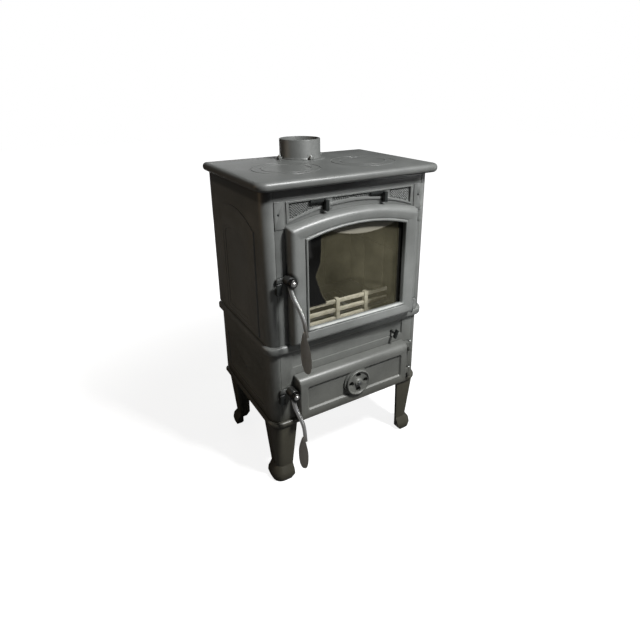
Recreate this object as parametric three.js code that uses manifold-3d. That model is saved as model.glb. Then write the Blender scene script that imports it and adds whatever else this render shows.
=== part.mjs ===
// Free-standing cast-iron wood stove on four legs: firebox above, ash compartment below.
// Millimetres. +Z is up, the doors face -Y, +X is to the right of someone facing the stove.
import * as THREE from 'three';
import { mergeVertices } from 'three/addons/utils/BufferGeometryUtils.js';
import Module from 'manifold-3d';

const wasm = await Module();
wasm.setup();

// ---------------------------------------------------------------- driving sizes

const seat = 0.3; // gap between pieces that rest on or against each other
const bite = 1; // how far a cutting tool reaches past the face it cuts

// Stack of castings, from the floor up
const legHeight = 186;
const baseThickness = 17;
const lowerHeight = 211;
const hearthThickness = 24;
const upperHeight = 404;
const topThickness = 23;

// Body in plan
const bodyWidth = 502;
const bodyDepth = 362;
const cornerRadius = 28;
const lowerInset = 5;
const bandProud = 8;
const bandRound = 8;
const bandBackCorner = 12;
const wall = 7;
const backPanelMargin = 45;
const pilasterWidth = 25;
const pilasterProud = 2;
const pilasterDrop = 29; // below the top plate
const pilasterRise = 3; // above the door's shoulder
const pilasterScrewDrop = 59;
const pilasterScrewInset = 10;
const frontWall = 8;
const rebate = 12;

// Top plate and flue collar
const topSideOverhang = 20;
const topFrontOverhang = 25;
const topBackOverhang = 1;
const topFrontCorner = 28;
const topBackCorner = 14;
const topRim = 40;
const topWeb = 10;
const hotplateRadius = 90;
const hotplateInnerRadius = 65;
const hotplateX = 121;
const hotplateY = -46;
const ringGroove = 4;
const ringDepth = 1.6;
const collarRadius = 60;
const collarWall = 5;
const collarHeight = 57;
const collarY = 101;
const collarPad = 2;
const collarPadRadius = 72;
const collarSpigot = 9;
const collarStop = 4;
const collarStopHeight = 12;
const lugSize = 14;
const lugHeight = 6;

// Fire door, on the front face of the firebox
const doorSide = 63; // from the body's side to the door's front edge
const doorSill = 11; // above the hearth casting
const doorHead = 98; // from the arch's shoulder up to the top plate
const doorRise = 29;
const doorThickness = 30;
const doorDraft = 9;
const doorGap = 2;
const doorField = 16;
const fieldDepth = 5;
const glassStile = 38; // from the door's edge to the glass opening, at the sides
const glassRail = 34; // the same at the bottom
const glassHead = 25; // the same at the arch's shoulders
const glassRise = 25;
const beadWidth = 7;
const beadHeight = 3;
const doorWeb = 12;
const glassLap = 8;
const glassThickness = 4;
const gasketThickness = 2.4;
const pocketMargin = 3;
const clipWidth = 16;
const clipThickness = 3;
const clipScrewInset = [57, 44]; // from the bottom and the top of the glass opening
const clipShelf = 10;
const frameLip = 18;
const ropeSize = 9;
const ropeInset = 5;
const channelDepth = 6;

// Ash door, on the front face of the ash compartment
const ashSide = 67; // from the body's side to the door's edge
const ashSill = 6; // above the base casting
const ashHead = 74; // below the hearth casting
const ashThickness = 33;
const ashDraft = 4;
const ashStile = 28;
const ashRail = 32;
const ashPanelDepth = 6;
const ashPocket = 14;
const spinnerRadius = 38;
const spinnerThickness = 6;
const ventCount = 4;
const ventRadius = 8.5;
const ventCircle = 23;

// Hinges
const hingeReach = 21; // from the door's edge to the hinge pin
const hingeForward = 11;
const knuckleRadius = 8;
const knuckleHeight = 15;
const pinRadius = 3.6;
const pinClearance = 0.3;
const pinHead = 5.4;
const fireHingeInset = [9, 18]; // from the bottom and the shoulder of the door
const ashHingeInset = [17, 24];

// Latches and handles, the same on both doors
const pivotReach = 11; // from the door's edge to the pivot
const firePivotRise = 172; // above the bottom of the door
const ashPivotDrop = 38; // below the top of the door
const fireHandleTurn = 4;
const ashHandleTurn = 0;
const bossRadius = 15;
const hubRadius = 12;
const hubLength = 13;
const boltRadius = 5;
const boltClearance = 0.3;
const boltHead = 9;
const rodRadius = 5.5;
// Course of a handle's bar: mm to the right, then shares of its reach forward and of its drop.
const barCourse = [
  [-8, 0.16, 0.03],
  [-6, 0.34, 0.27],
  [1.5, 0.62, 0.53],
  [5.5, 0.88, 0.76],
  [5.5, 1.08, 1.12],
];
const gripWidth = 30;
const gripThickness = 7;
const gripTurn = 58;
const gripForward = 28;
const fireGripTop = -118;
const fireGripLength = 118;
const ashGripTop = -105;
const ashGripLength = 100;
const tongueLength = 27;
const tongueHeight = 11;
const tongueThickness = 6;
const keeperWidth = 15;
const keeperDrop = 30;
const keeperLip = 5;
const latchClearance = 0.8;

// Air controls and riddling rod
const spandrelDrop = 31; // from the top plate down to the sunk field
const spandrelGap = 18; // between the shoulders of the door and of the field
const spandrelRise = 33;
const spandrelDepth = 3.5;
const rimWidth = 7;
const leverInset = [60, 138]; // from the left and the right end of the sunk field
const leverArm = 46;
const leverTravel = 24;
const leverWay = [-1, 1];
const leverDropZ = 9; // below the top of the field
const leverThick = 9;
const leverFoot = 13;
const leverDrop = 19;
const leverForward = 20;
const shutterReach = [28, 36];
const shutterHeight = 26;
const shutterThickness = 3;
const rodX = 148;
const rodDrop = 39; // below the hearth casting
const riddleTravel = 16;
const riddleRadius = 5;
const riddleEnds = [[4, 15], [-7, -14]]; // of the lever, from the rod
const riddleHalf = 6;
const riddleThickness = 8;
const riddleReach = 118;

// Panel between the doors
const ledgeRise = 21; // above the ash door
const ledgeDrop = 8; // below the hearth casting
const ledgeDepth = 4;

// Raised and sunk panels of the side castings
const archMargin = 29;
const archSill = 9;
const archHead = 110;
const archRise = 41;
const archProud = 3.5;
const innerMargin = 72;
const innerSill = 23;
const innerHead = 42;
const innerRise = 18;
const innerStep = 12;
const innerDepth = 2;
const lowerPanelMargin = 35;
const lowerPanelSill = 23;
const lowerPanelHead = 66;
const lowerPanelDepth = 3;

// Inside the firebox and the ash compartment
const floorDrop = 16;
const brickThickness = 25;
const brickHeadroom = 59;
const baffleThickness = 8;
const baffleThroat = 95;
const grateWidth = 240;
const grateDepth = 150;
const grateThickness = 9;
const grateBars = 11;
const grateSlot = 10;
const gratePlay = 1;
const grateLedge = 8;
const grateClearance = 2; // between the grate, pulled fully forward, and the log guard
const guardMargin = 10;
const guardSetback = 78;
const guardBar = 11;
const guardDepth = 8;
const guardPitch = 27;
const guardPost = 12;
const guardPostProud = 3;
const guardPostShare = [-5 / 9, 0, 5 / 9]; // of the guard's half length
const panSide = 105;
const panEnds = 76;
const panHeadroom = 127;
const panWall = 2;
const panGripHalf = 30;
const panGripReach = 7;
const panGripDrop = 13;
const panGripThickness = 3;

const baseRim = 36;
const basePocket = 8;

// Legs
const legWidth = 70;
const legWall = 9;
const ankleHeight = 42;
const ankleInset = 11;
const ankleWidth = 47;
const footBulge = 12;
const legRound = 20;
const footRound = 26;

// ---------------------------------------------------------------- derived levels and faces

const baseTop = legHeight + baseThickness;
const hearthBottom = baseTop + lowerHeight;
const hearthTop = hearthBottom + hearthThickness;
const floorZ = hearthTop - floorDrop;
const bodyTop = hearthTop + upperHeight;
const stoveTop = bodyTop + topThickness;
const halfWidth = bodyWidth / 2;
const halfDepth = bodyDepth / 2;
const upperFront = -halfDepth;
const lowerFront = -halfDepth + lowerInset;
const flangeEdge = halfWidth - cornerRadius;
const pocketHalfWidth = halfWidth - wall - 8;
const pocketHalfDepth = halfDepth - frontWall - 8;

const doorHalf = halfWidth - doorSide;
const doorBottom = hearthTop + doorSill;
const doorShoulder = bodyTop - doorHead;
const glassHalf = doorHalf - glassStile;
const glassBottom = doorBottom + glassRail;
const glassShoulder = doorShoulder - glassHead;
const clipScrewZ = [glassBottom + clipScrewInset[0], glassShoulder - clipScrewInset[1]];
const ashHalf = halfWidth - ashSide;
const ashBottom = baseTop + ashSill;
const ashTop = hearthBottom - ashHead;
const ashPanelHalf = ashHalf - ashStile;
const ashPanelBottom = ashBottom + ashRail;
const ashPanelTop = ashTop - ashRail;
const spinnerZ = (ashBottom + ashTop) / 2;
const hingeX = doorHalf + hingeReach;
const fireHingeZ = [doorBottom + fireHingeInset[0], doorShoulder - fireHingeInset[1]];
const ashHingeZ = [ashBottom + ashHingeInset[0], ashTop - ashHingeInset[1]];
const pivotX = -doorHalf - pivotReach;
const firePivotZ = doorBottom + firePivotRise;
const ashPivotZ = ashTop - ashPivotDrop;
const spandrelHalf = doorHalf;
const spandrelTop = bodyTop - spandrelDrop;
const spandrelShoulder = doorShoulder + spandrelGap;
const leverZ = spandrelTop - leverDropZ;
const leverX = [leverInset[0] - spandrelHalf, spandrelHalf - leverInset[1]];
const rodZ = hearthBottom - rodDrop;
const ledgeBottom = ashTop + ledgeRise;
const ledgeTop = hearthBottom - ledgeDrop;
const flatHalf = (bodyDepth - cornerRadius) / 2;
const archHalf = flatHalf - archMargin;
const archBottom = hearthTop + archSill;
const archShoulder = bodyTop - archHead;
const innerHalf = archHalf - innerMargin;
const innerBottom = archBottom + innerSill;
const innerShoulder = archShoulder - innerHead;
const lowerPanelHalf = flatHalf - lowerPanelMargin;
const lowerPanelBottom = baseTop + lowerPanelSill;
const lowerPanelTop = hearthBottom - lowerPanelHead;
const brickHeight = upperHeight - brickHeadroom;
const baffleDepth = 2 * pocketHalfDepth - baffleThroat;
const guardHalf = doorHalf - guardMargin;
const guardY = guardSetback - halfDepth;
const guardPosts = guardPostShare.map((share) => share * guardHalf);
const grateFront = guardY + guardDepth / 2 + guardPostProud + riddleTravel + grateClearance;
const grateY = grateFront + grateDepth / 2;
const panHalf = halfWidth - panSide;
const panDepth = bodyDepth - panEnds;
const panHeight = lowerHeight - panHeadroom;

// ---------------------------------------------------------------- materials

function castIron(color) {
  return new THREE.MeshStandardMaterial({ color, roughness: 0.62, metalness: 0.35 });
}

const stovePaint = castIron(0x6b6d6b);
const controlBlack = new THREE.MeshStandardMaterial({ color: 0x191b1a, roughness: 0.5, metalness: 0.2 });
const polishedSteel = new THREE.MeshStandardMaterial({ color: 0xc4c6c4, roughness: 0.2, metalness: 1 });
const plainSteel = new THREE.MeshStandardMaterial({ color: 0x8d8f8e, roughness: 0.4, metalness: 0.9 });
const ropeSeal = new THREE.MeshStandardMaterial({ color: 0x5a5853, roughness: 0.95, metalness: 0 });
const fireBrick = new THREE.MeshStandardMaterial({ color: 0x8a7c66, roughness: 0.95, metalness: 0 });
const ashGrey = new THREE.MeshStandardMaterial({ color: 0x968f7d, roughness: 0.85, metalness: 0.1 });
const stoveGlass = new THREE.MeshStandardMaterial({
  color: 0x4b483c,
  roughness: 0.08,
  metalness: 0,
  transparent: true,
  opacity: 0.45,
});

// ---------------------------------------------------------------- solids

// Turns a closed three.js geometry into a solid that can be joined and cut.
function solid(geometry) {
  const bare = geometry.clone();
  bare.deleteAttribute('normal');
  bare.deleteAttribute('uv');
  const merged = mergeVertices(bare, 1e-4);
  const corners = Array.from(merged.index.array);
  const kept = [];
  for (let i = 0; i < corners.length; i += 3) {
    const [a, b, c] = corners.slice(i, i + 3);
    if (a !== b && b !== c && c !== a) kept.push(a, b, c);
  }
  return new wasm.Manifold(new wasm.Mesh({
    numProp: 3,
    vertProperties: new Float32Array(merged.attributes.position.array),
    triVerts: new Uint32Array(kept),
  }));
}

function join(...solids) {
  return solids.reduce((whole, piece) => whole.add(piece));
}

function cut(whole, ...tools) {
  return tools.reduce((left, tool) => left.subtract(tool), whole);
}

function box(x0, x1, y0, y1, z0, z1) {
  const block = new THREE.BoxGeometry(x1 - x0, y1 - y0, z1 - z0);
  return solid(block.translate((x0 + x1) / 2, (y0 + y1) / 2, (z0 + z1) / 2));
}

// Rod along one axis, from one coordinate to the other, centred on the two other coordinates.
function rod(axis, radius, from, to, centre, sides = 16) {
  const bar = new THREE.CylinderGeometry(radius, radius, to - from, sides);
  const middle = (from + to) / 2;
  if (axis === 'x') bar.rotateZ(Math.PI / 2).translate(middle, centre[0], centre[1]);
  if (axis === 'y') bar.translate(centre[0], middle, centre[1]);
  if (axis === 'z') bar.rotateX(Math.PI / 2).translate(centre[0], centre[1], middle);
  return solid(bar);
}

function lathe(profile, sides) {
  const points = profile.map(([r, z]) => new THREE.Vector2(r, z));
  return solid(new THREE.LatheGeometry(points, sides).rotateX(Math.PI / 2));
}

// Points of a round stretch, angles in degrees.
function arc(cx, cy, radius, from, to, steps) {
  const points = [];
  for (let i = 0; i <= steps; i += 1) {
    const angle = THREE.MathUtils.degToRad(from + ((to - from) * i) / steps);
    points.push([cx + radius * Math.cos(angle), cy + radius * Math.sin(angle)]);
  }
  return points;
}

function shapeOf(points) {
  return new THREE.Shape(points.map(([x, y]) => new THREE.Vector2(x, y)));
}

function roundedRectangle(x0, x1, y0, y1, radius, steps = 6) {
  return [
    ...arc(x1 - radius, y0 + radius, radius, -90, 0, steps),
    ...arc(x1 - radius, y1 - radius, radius, 0, 90, steps),
    ...arc(x0 + radius, y1 - radius, radius, 90, 180, steps),
    ...arc(x0 + radius, y0 + radius, radius, 180, 270, steps),
  ];
}

// Plan outline whose front corners and back corners have radii of their own.
function cornered(x, front, back, frontRadius, backRadius) {
  return [
    ...arc(x - frontRadius, front + frontRadius, frontRadius, -90, 0, 6),
    ...arc(x - backRadius, back - backRadius, backRadius, 0, 90, 3),
    ...arc(backRadius - x, back - backRadius, backRadius, 90, 180, 3),
    ...arc(frontRadius - x, front + frontRadius, frontRadius, 180, 270, 6),
  ];
}

// Outline with straight sides and a segmental arch on top.
function archOutline(half, bottom, shoulder, rise, steps = 12) {
  const radius = (half * half + rise * rise) / (2 * rise);
  const spread = THREE.MathUtils.radToDeg(Math.asin(half / radius));
  return [
    [-half, bottom],
    [half, bottom],
    ...arc(0, shoulder + rise - radius, radius, 90 - spread, 90 + spread, steps),
  ];
}

// Plan outline pushed upwards, from z0 to z1.
function standing(points, z0, z1) {
  const options = { depth: z1 - z0, bevelEnabled: false };
  return solid(new THREE.ExtrudeGeometry(shapeOf(points), options).translate(0, 0, z0));
}

// Plan outline between z0 and z1 whose edge is a half round of the given radius.
function bullnose(points, z0, z1, round, steps = 3) {
  const options = {
    depth: z1 - z0 - 2 * round,
    bevelEnabled: true,
    bevelThickness: round,
    bevelSize: round,
    bevelOffset: -round,
    bevelSegments: steps,
  };
  return solid(new THREE.ExtrudeGeometry(shapeOf(points), options).translate(0, 0, z0 + round));
}

// Outline in X and Z pushed along Y, from y0 at the back to y1 at the front (y1 < y0).
function facing(points, y0, y1) {
  const options = { depth: y0 - y1, bevelEnabled: false };
  const block = new THREE.ExtrudeGeometry(shapeOf(points), options);
  return solid(block.rotateX(Math.PI / 2).translate(0, y0, 0));
}

// The same with a rounded draft of the given size all round its front edge.
function drafted(points, y0, y1, draft, straight, steps = 3) {
  const run = y0 - y1 - straight;
  const options = {
    depth: straight + bite,
    bevelEnabled: true,
    bevelThickness: run,
    bevelSize: draft,
    bevelSegments: steps,
  };
  const block = new THREE.ExtrudeGeometry(shapeOf(points), options);
  block.rotateX(Math.PI / 2).translate(0, y0 + bite, 0);
  const reach = 2 * bodyWidth;
  return cut(solid(block), box(-reach, reach, y0, y0 + reach, -reach, 2 * reach));
}

// Outline in Y and Z pushed along X, from x0 to x1.
function sideways(points, x0, x1) {
  const options = { depth: x1 - x0, bevelEnabled: false };
  const block = new THREE.ExtrudeGeometry(shapeOf(points), options);
  return solid(block.rotateX(Math.PI / 2).rotateZ(Math.PI / 2).translate(x0, 0, 0));
}

// Bent bar of round section through the given points.
function bentRod(points, radius, sides, steps) {
  const path = new THREE.CatmullRomCurve3(points.map((p) => new THREE.Vector3(...p)));
  const section = shapeOf(arc(0, 0, radius, 0, 360 - 360 / sides, sides - 1));
  return solid(new THREE.ExtrudeGeometry(section, { steps, extrudePath: path }));
}

function meshOf(name, body, material) {
  const { vertProperties, triVerts } = body.getMesh();
  const geometry = new THREE.BufferGeometry();
  geometry.setAttribute('position', new THREE.BufferAttribute(new Float32Array(vertProperties), 3));
  geometry.setIndex(new THREE.BufferAttribute(new Uint32Array(triVerts), 1));
  geometry.computeVertexNormals();
  const mesh = new THREE.Mesh(geometry, material);
  mesh.name = name;
  return mesh;
}

const stove = new THREE.Group();

// ---------------------------------------------------------------- top plate and flue collar

function buildTopPlate() {
  const x = halfWidth + topSideOverhang;
  const front = upperFront - topFrontOverhang;
  const back = halfDepth + topBackOverhang;
  const outline = cornered(x, front, back, topFrontCorner, topBackCorner);
  const slab = bullnose(outline, bodyTop, stoveTop, topThickness / 2 - bite, 4);
  const pocket = box(topRim - x, x - topRim, front + topRim + topFrontOverhang / 2, back - topRim,
    bodyTop - bite, stoveTop - topWeb);
  const pad = rod('z', collarPadRadius, stoveTop - bite, stoveTop + collarPad, [0, collarY], 32);
  const flue = rod('z', collarRadius - collarWall + seat, bodyTop, stoveTop + 9, [0, collarY], 32);
  const plate = cut(join(slab, pad), pocket, flue);
  const rings = [];
  for (const side of [-1, 1]) {
    for (const radius of [hotplateRadius, hotplateInnerRadius]) {
      rings.push(hotplateRing(radius).translate([side * hotplateX, hotplateY, stoveTop]));
    }
  }
  return cut(plate, ...rings, ...lugAngles.map((angle) => lugScrewHole(angle)));
}

// Engraved ring that marks a cooking place.
function hotplateRing(radius) {
  const half = ringGroove / 2;
  return lathe([
    [radius - half, bite],
    [radius, -ringDepth],
    [radius + half, bite],
    [radius - half, bite],
  ], 36);
}

const lugAngles = [0, 90, 180, 270];
const lugCircle = collarRadius + lugSize / 2 - 1;

function aroundCollar(piece, angle) {
  return piece.rotate([0, 0, angle]).translate([0, collarY, 0]);
}

function lugScrewHole(angle) {
  const hole = rod('z', 2.5 + seat, stoveTop - 7, stoveTop + 9, [0, -lugCircle], 8);
  return aroundCollar(hole, angle);
}

function buildFlueCollar() {
  const inner = collarRadius - collarWall;
  const bottom = stoveTop + collarPad + seat;
  const tube = lathe([
    [inner - collarStop, bottom - collarSpigot],
    [inner, bottom - collarSpigot],
    [inner, bottom],
    [collarRadius, bottom],
    [collarRadius, stoveTop + collarHeight],
    [inner, stoveTop + collarHeight],
    [inner - collarStop, bottom + collarStopHeight],
    [inner - collarStop, bottom - collarSpigot],
  ], 32).translate([0, collarY, 0]);
  const ears = lugAngles.map((angle) => {
    const ear = box(-lugSize / 2, lugSize / 2, -lugCircle - lugSize / 2, -collarRadius + 2.5,
      bottom, bottom + lugHeight);
    return aroundCollar(ear, angle);
  });
  return cut(join(tube, ...ears), ...lugAngles.map((angle) => lugScrewHole(angle)));
}

function buildCollarBolt(angle) {
  const top = stoveTop + collarPad + lugHeight + 2 * seat;
  const shank = rod('z', 2.5, stoveTop - 6, top + 1, [0, -lugCircle], 8);
  const head = rod('z', 4.6, top, top + 5, [0, -lugCircle], 6);
  return aroundCollar(join(shank, head), angle);
}

stove.add(meshOf('top_plate', buildTopPlate(), stovePaint));
stove.add(meshOf('flue_collar', buildFlueCollar(), stovePaint));
['front', 'right', 'back', 'left'].forEach((place, i) => {
  stove.add(meshOf(`collar_bolt_${place}`, buildCollarBolt(lugAngles[i]), plainSteel));
});

// ---------------------------------------------------------------- side castings

// Wall with a round front corner; a tongue reaches behind the front plate. hand is -1 or 1.
function sidePlan(hand, inset) {
  const x = halfWidth - inset;
  const y = halfDepth - inset;
  const radius = cornerRadius - inset / 2;
  const edge = x - radius;
  const back = frontWall + seat;
  const points = [
    [x, y],
    [x - wall, y],
    [x - wall, -y + radius],
    [edge, -y + back + wall],
    [edge - rebate, -y + back + wall],
    [edge - rebate, -y + back],
    [edge, -y + back],
    ...arc(edge, -y + radius, radius, -90, 0, 8),
  ];
  return points.map(([px, py]) => [px * hand, py]);
}

// Moves an outline in Y and Z so that it stands in the middle of the flat part of a side.
function onSide(points) {
  return points.map(([y, z]) => [y + cornerRadius / 2, z]);
}

function buildUpperSide(hand) {
  const face = halfWidth * hand;
  const out = (from, to) => [face + from * hand, face + to * hand].sort((a, b) => a - b);
  const plate = standing(sidePlan(hand, 0), hearthTop + seat, bodyTop - seat);
  const arch = archOutline(archHalf, archBottom, archShoulder, archRise);
  const step = archOutline(
    innerHalf + innerStep,
    innerBottom - innerStep,
    innerShoulder + innerStep / 2,
    innerRise,
  );
  const inner = archOutline(innerHalf, innerBottom, innerShoulder, innerRise);
  const raised = sideways(onSide(arch), ...out(-1, archProud));
  const outerStep = sideways(onSide(step), ...out(archProud - innerDepth, archProud + bite));
  const sunk = sideways(onSide(inner), ...out(archProud - 2 * innerDepth, archProud + bite));
  return cut(join(plate, raised), outerStep, sunk);
}

function buildLowerSide(hand) {
  const face = (halfWidth - lowerInset) * hand;
  const out = (from, to) => [face + from * hand, face + to * hand].sort((a, b) => a - b);
  const plate = standing(sidePlan(hand, lowerInset), baseTop + seat, hearthBottom - seat);
  const panel = roundedRectangle(-lowerPanelHalf, lowerPanelHalf, lowerPanelBottom, lowerPanelTop, 8, 2);
  const sunk = sideways(onSide(panel), ...out(-lowerPanelDepth, bite));
  const boltZ = (lowerPanelBottom + lowerPanelTop) / 2;
  const head = rod('x', 5, ...out(-lowerPanelDepth - 1, 0), [cornerRadius / 2, boltZ], 10);
  return join(cut(plate, sunk), head);
}

stove.add(meshOf('left_side', buildUpperSide(-1), stovePaint));
stove.add(meshOf('right_side', buildUpperSide(1), stovePaint));
stove.add(meshOf('lower_left_side', buildLowerSide(-1), stovePaint));
stove.add(meshOf('lower_right_side', buildLowerSide(1), stovePaint));

// ---------------------------------------------------------------- back plates

function buildBack(inset, z0, z1) {
  const x = halfWidth - inset - wall - seat;
  const back = halfDepth - inset;
  const margin = backPanelMargin;
  const plate = box(-x, x, back - wall, back, z0, z1);
  const panel = box(margin - x, x - margin, back - 1, back + topBackOverhang, z0 + margin, z1 - margin);
  return join(plate, panel);
}

stove.add(meshOf('back_plate', buildBack(0, hearthTop + seat, bodyTop - seat), stovePaint));
stove.add(meshOf('lower_back', buildBack(lowerInset, baseTop + seat, hearthBottom - seat), stovePaint));

// ---------------------------------------------------------------- hearth and base castings

// Moulded band round the body, with a rounded edge and nearly square corners at the back.
function bandSlab(inset, z0, z1) {
  const x = halfWidth - inset + bandProud;
  const front = -halfDepth + inset - bandProud;
  const back = halfDepth + topBackOverhang;
  const round = cornerRadius + bandProud;
  return bullnose(cornered(x, front, back, round, bandBackCorner), z0, z1, bandRound);
}

function buildHearth() {
  const slab = bandSlab(0, hearthBottom, hearthTop);
  const x = pocketHalfWidth;
  const y = pocketHalfDepth;
  const pocket = box(-x, x, -y, y, floorZ, hearthTop + bite);
  const recessX = grateWidth / 2 + gratePlay;
  const recessBack = grateY + grateDepth / 2 + gratePlay;
  const recessFront = grateY - grateDepth / 2 - gratePlay - riddleTravel;
  const recess = box(-recessX, recessX, recessFront, recessBack, floorZ - 4, floorZ + bite);
  const drop = box(grateLedge - recessX, recessX - grateLedge, recessFront + grateLedge,
    recessBack - grateLedge, hearthBottom - bite, floorZ);
  return cut(slab, pocket, recess, drop);
}

function buildBase() {
  const slab = bandSlab(lowerInset, legHeight, baseTop);
  const x = halfWidth - baseRim;
  const y = halfDepth - baseRim;
  return cut(slab, box(-x, x, -y, y, baseTop - basePocket, baseTop + bite));
}

stove.add(meshOf('hearth_plate', buildHearth(), stovePaint));
stove.add(meshOf('base_plate', buildBase(), stovePaint));

// ---------------------------------------------------------------- legs

// Square plan with a round outer corner; outer and inner are measured inwards from the body's corner.
function legPlan(outer, inner, round) {
  const centre = outer + round;
  return [[inner, outer], [inner, inner], [outer, inner], ...arc(centre, centre, round, 180, 270, 6)];
}

// Solid through level plans, each given as height, outer face, inner face and corner radius.
function throughPlans(levels) {
  const rings = levels.map(([z, outer, inner, round]) => {
    return legPlan(outer, inner, round).map(([x, y]) => [x, y, z]);
  });
  const stages = rings.slice(1).map((ring, i) => wasm.Manifold.hull([...rings[i], ...ring]));
  return join(...stages);
}

// Leg of L section, open towards the middle of the stove, splayed out again at the foot.
function buildLeg() {
  const inner = ankleInset + ankleWidth;
  const foot = ankleInset - footBulge;
  const outside = throughPlans([
    [0, foot + 1, inner - footBulge, footRound],
    [13, foot - 1, inner, footRound],
    [26, foot + 1, inner, footRound],
    [ankleHeight, ankleInset, inner, legRound],
    [legHeight - seat, 0, legWidth, legRound],
  ]);
  const round = legRound - legWall;
  const pocket = throughPlans([
    [-bite, ankleInset + legWall, 2 * legWidth, round],
    [ankleHeight, ankleInset + legWall, 2 * legWidth, round],
    [legHeight + bite, legWall, 2 * legWidth, round],
  ]);
  return cut(outside, pocket);
}

const legShape = buildLeg();
const legPlaces = [
  ['leg_front_left', -1, -1, 0],
  ['leg_front_right', 1, -1, 90],
  ['leg_back_right', 1, 1, 180],
  ['leg_back_left', -1, 1, 270],
];
for (const [name, sideX, sideY, turn] of legPlaces) {
  const leg = meshOf(name, legShape, stovePaint);
  leg.position.set(sideX * (halfWidth - lowerInset), sideY * (halfDepth - lowerInset), 0);
  leg.rotation.z = THREE.MathUtils.degToRad(turn);
  stove.add(leg);
}

// ---------------------------------------------------------------- front plates

function knuckle(z, y, upper) {
  const z0 = upper ? z + seat / 2 : z - knuckleHeight;
  const z1 = upper ? z + knuckleHeight : z - seat / 2;
  return rod('z', knuckleRadius, z0, z1, [hingeX, y], 14);
}

function hingeBore(z, y) {
  const reach = knuckleHeight + bite;
  return rod('z', pinRadius + pinClearance, z - reach, z + reach, [hingeX, y], 14);
}

// Lower half of a hinge, cast on the front plate.
function frameKnuckle(z, face) {
  const y = face - hingeForward;
  const web = box(hingeX - 5, hingeX + 5, y, face + 2, z - knuckleHeight, z - seat / 2);
  return join(knuckle(z, y, false), web);
}

function buildHingePin(z, y) {
  const low = z - knuckleHeight;
  const shank = rod('z', pinRadius, low, z + knuckleHeight + 2, [hingeX, y], 14);
  const head = rod('z', pinHead, z + knuckleHeight + seat, z + knuckleHeight + 4, [hingeX, y], 14);
  return join(shank, head);
}

function spandrelOutline(grow) {
  const half = spandrelHalf + grow;
  const radius = (half * half + spandrelRise * spandrelRise) / (2 * spandrelRise);
  const spread = THREE.MathUtils.radToDeg(Math.asin(half / radius));
  const centre = spandrelShoulder - grow + spandrelRise - radius;
  return [
    [half, spandrelTop + grow],
    [-half, spandrelTop + grow],
    ...arc(0, centre, radius, 90 + spread, 90 - spread, 12),
  ];
}

function buildFrontPlate() {
  const edge = flangeEdge - seat;
  const y = upperFront;
  const half = doorHalf + doorDraft - frameLip;
  const bottom = doorBottom - doorDraft + frameLip;
  const opening = archOutline(half, bottom, doorShoulder - frameLip + 6, doorRise);
  const plate = box(-edge, edge, y, y + frontWall, hearthTop + seat, bodyTop - seat);
  const hole = facing(opening, y + frontWall + bite, y - bite);
  const rim = cut(
    facing(spandrelOutline(rimWidth / 2), y + 1, y - 2.5),
    facing(spandrelOutline(-rimWidth / 2), y + 2, y - 4),
    box(-bodyWidth, bodyWidth, y - 9, y + 9, spandrelTop, bodyTop),
  );
  const sunk = facing(spandrelOutline(-rimWidth / 2), y + spandrelDepth, y - 4);
  const pads = leverX.map((x) => {
    const padX = x + leverArm - 2;
    return box(padX, padX + 20, y - 1, y + spandrelDepth + 1, leverZ - 22, spandrelTop - rimWidth / 2);
  });
  const slots = leverX.map((x, i) => {
    const left = x - 1 - (leverWay[i] < 0 ? leverTravel : 0);
    const right = x + 8 + (leverWay[i] > 0 ? leverTravel : 0);
    return box(left, right, y - 9, y + frontWall + bite,
      leverZ - leverThick / 2 + 1, leverZ + leverThick / 2 - 1);
  });
  const screwX = edge - pilasterScrewInset;
  const screws = [-screwX, screwX].map((x) => {
    return rod('y', 3, y - pilasterProud - bite, y + 3, [x, bodyTop - pilasterScrewDrop], 10);
  });
  const pilasters = [-1, 1].map((side) => {
    const [x0, x1] = [side * (edge - pilasterWidth), side * edge].sort((a, b) => a - b);
    return box(x0, x1, y - pilasterProud, y + bite, doorShoulder + pilasterRise, bodyTop - pilasterDrop);
  });
  const hinges = fireHingeZ.map((z) => frameKnuckle(z, y));
  const bores = fireHingeZ.map((z) => hingeBore(z, y - hingeForward));
  const body = join(cut(plate, hole, sunk), rim, ...pads, ...pilasters, ...hinges);
  return cut(body, ...slots, ...screws, ...bores);
}

function buildLowerFront() {
  const edge = halfWidth - lowerInset - (cornerRadius - lowerInset / 2) - seat;
  const y = lowerFront;
  const plate = box(-edge, edge, y, y + frontWall, baseTop + seat, hearthBottom - seat);
  const half = ashHalf - frameLip;
  const hole = box(-half, half, y - bite, y + frontWall + bite, ashBottom + frameLip, ashTop - frameLip);
  const ledge = box(-ashHalf, ashHalf, y - bite, y + ledgeDepth, ledgeBottom, ledgeTop);
  const rodHole = rod('y', riddleRadius + 0.6, y - bite, y + frontWall + bite, [rodX, rodZ], 12);
  const hinges = ashHingeZ.map((z) => frameKnuckle(z, y));
  const bores = ashHingeZ.map((z) => hingeBore(z, y - hingeForward));
  return cut(join(cut(plate, hole, ledge), ...hinges), rodHole, ...bores);
}

stove.add(meshOf('front_plate', buildFrontPlate(), stovePaint));
stove.add(meshOf('lower_front', buildLowerFront(), stovePaint));
const hingeNames = ['bottom', 'top'];
hingeNames.forEach((place, i) => {
  const firePin = buildHingePin(fireHingeZ[i], upperFront - hingeForward);
  const ashPin = buildHingePin(ashHingeZ[i], lowerFront - hingeForward);
  stove.add(meshOf(`fire_hinge_pin_${place}`, firePin, plainSteel));
  stove.add(meshOf(`ash_hinge_pin_${place}`, ashPin, plainSteel));
});

// ---------------------------------------------------------------- handle, pivot bolt, tongue and keeper

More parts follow.
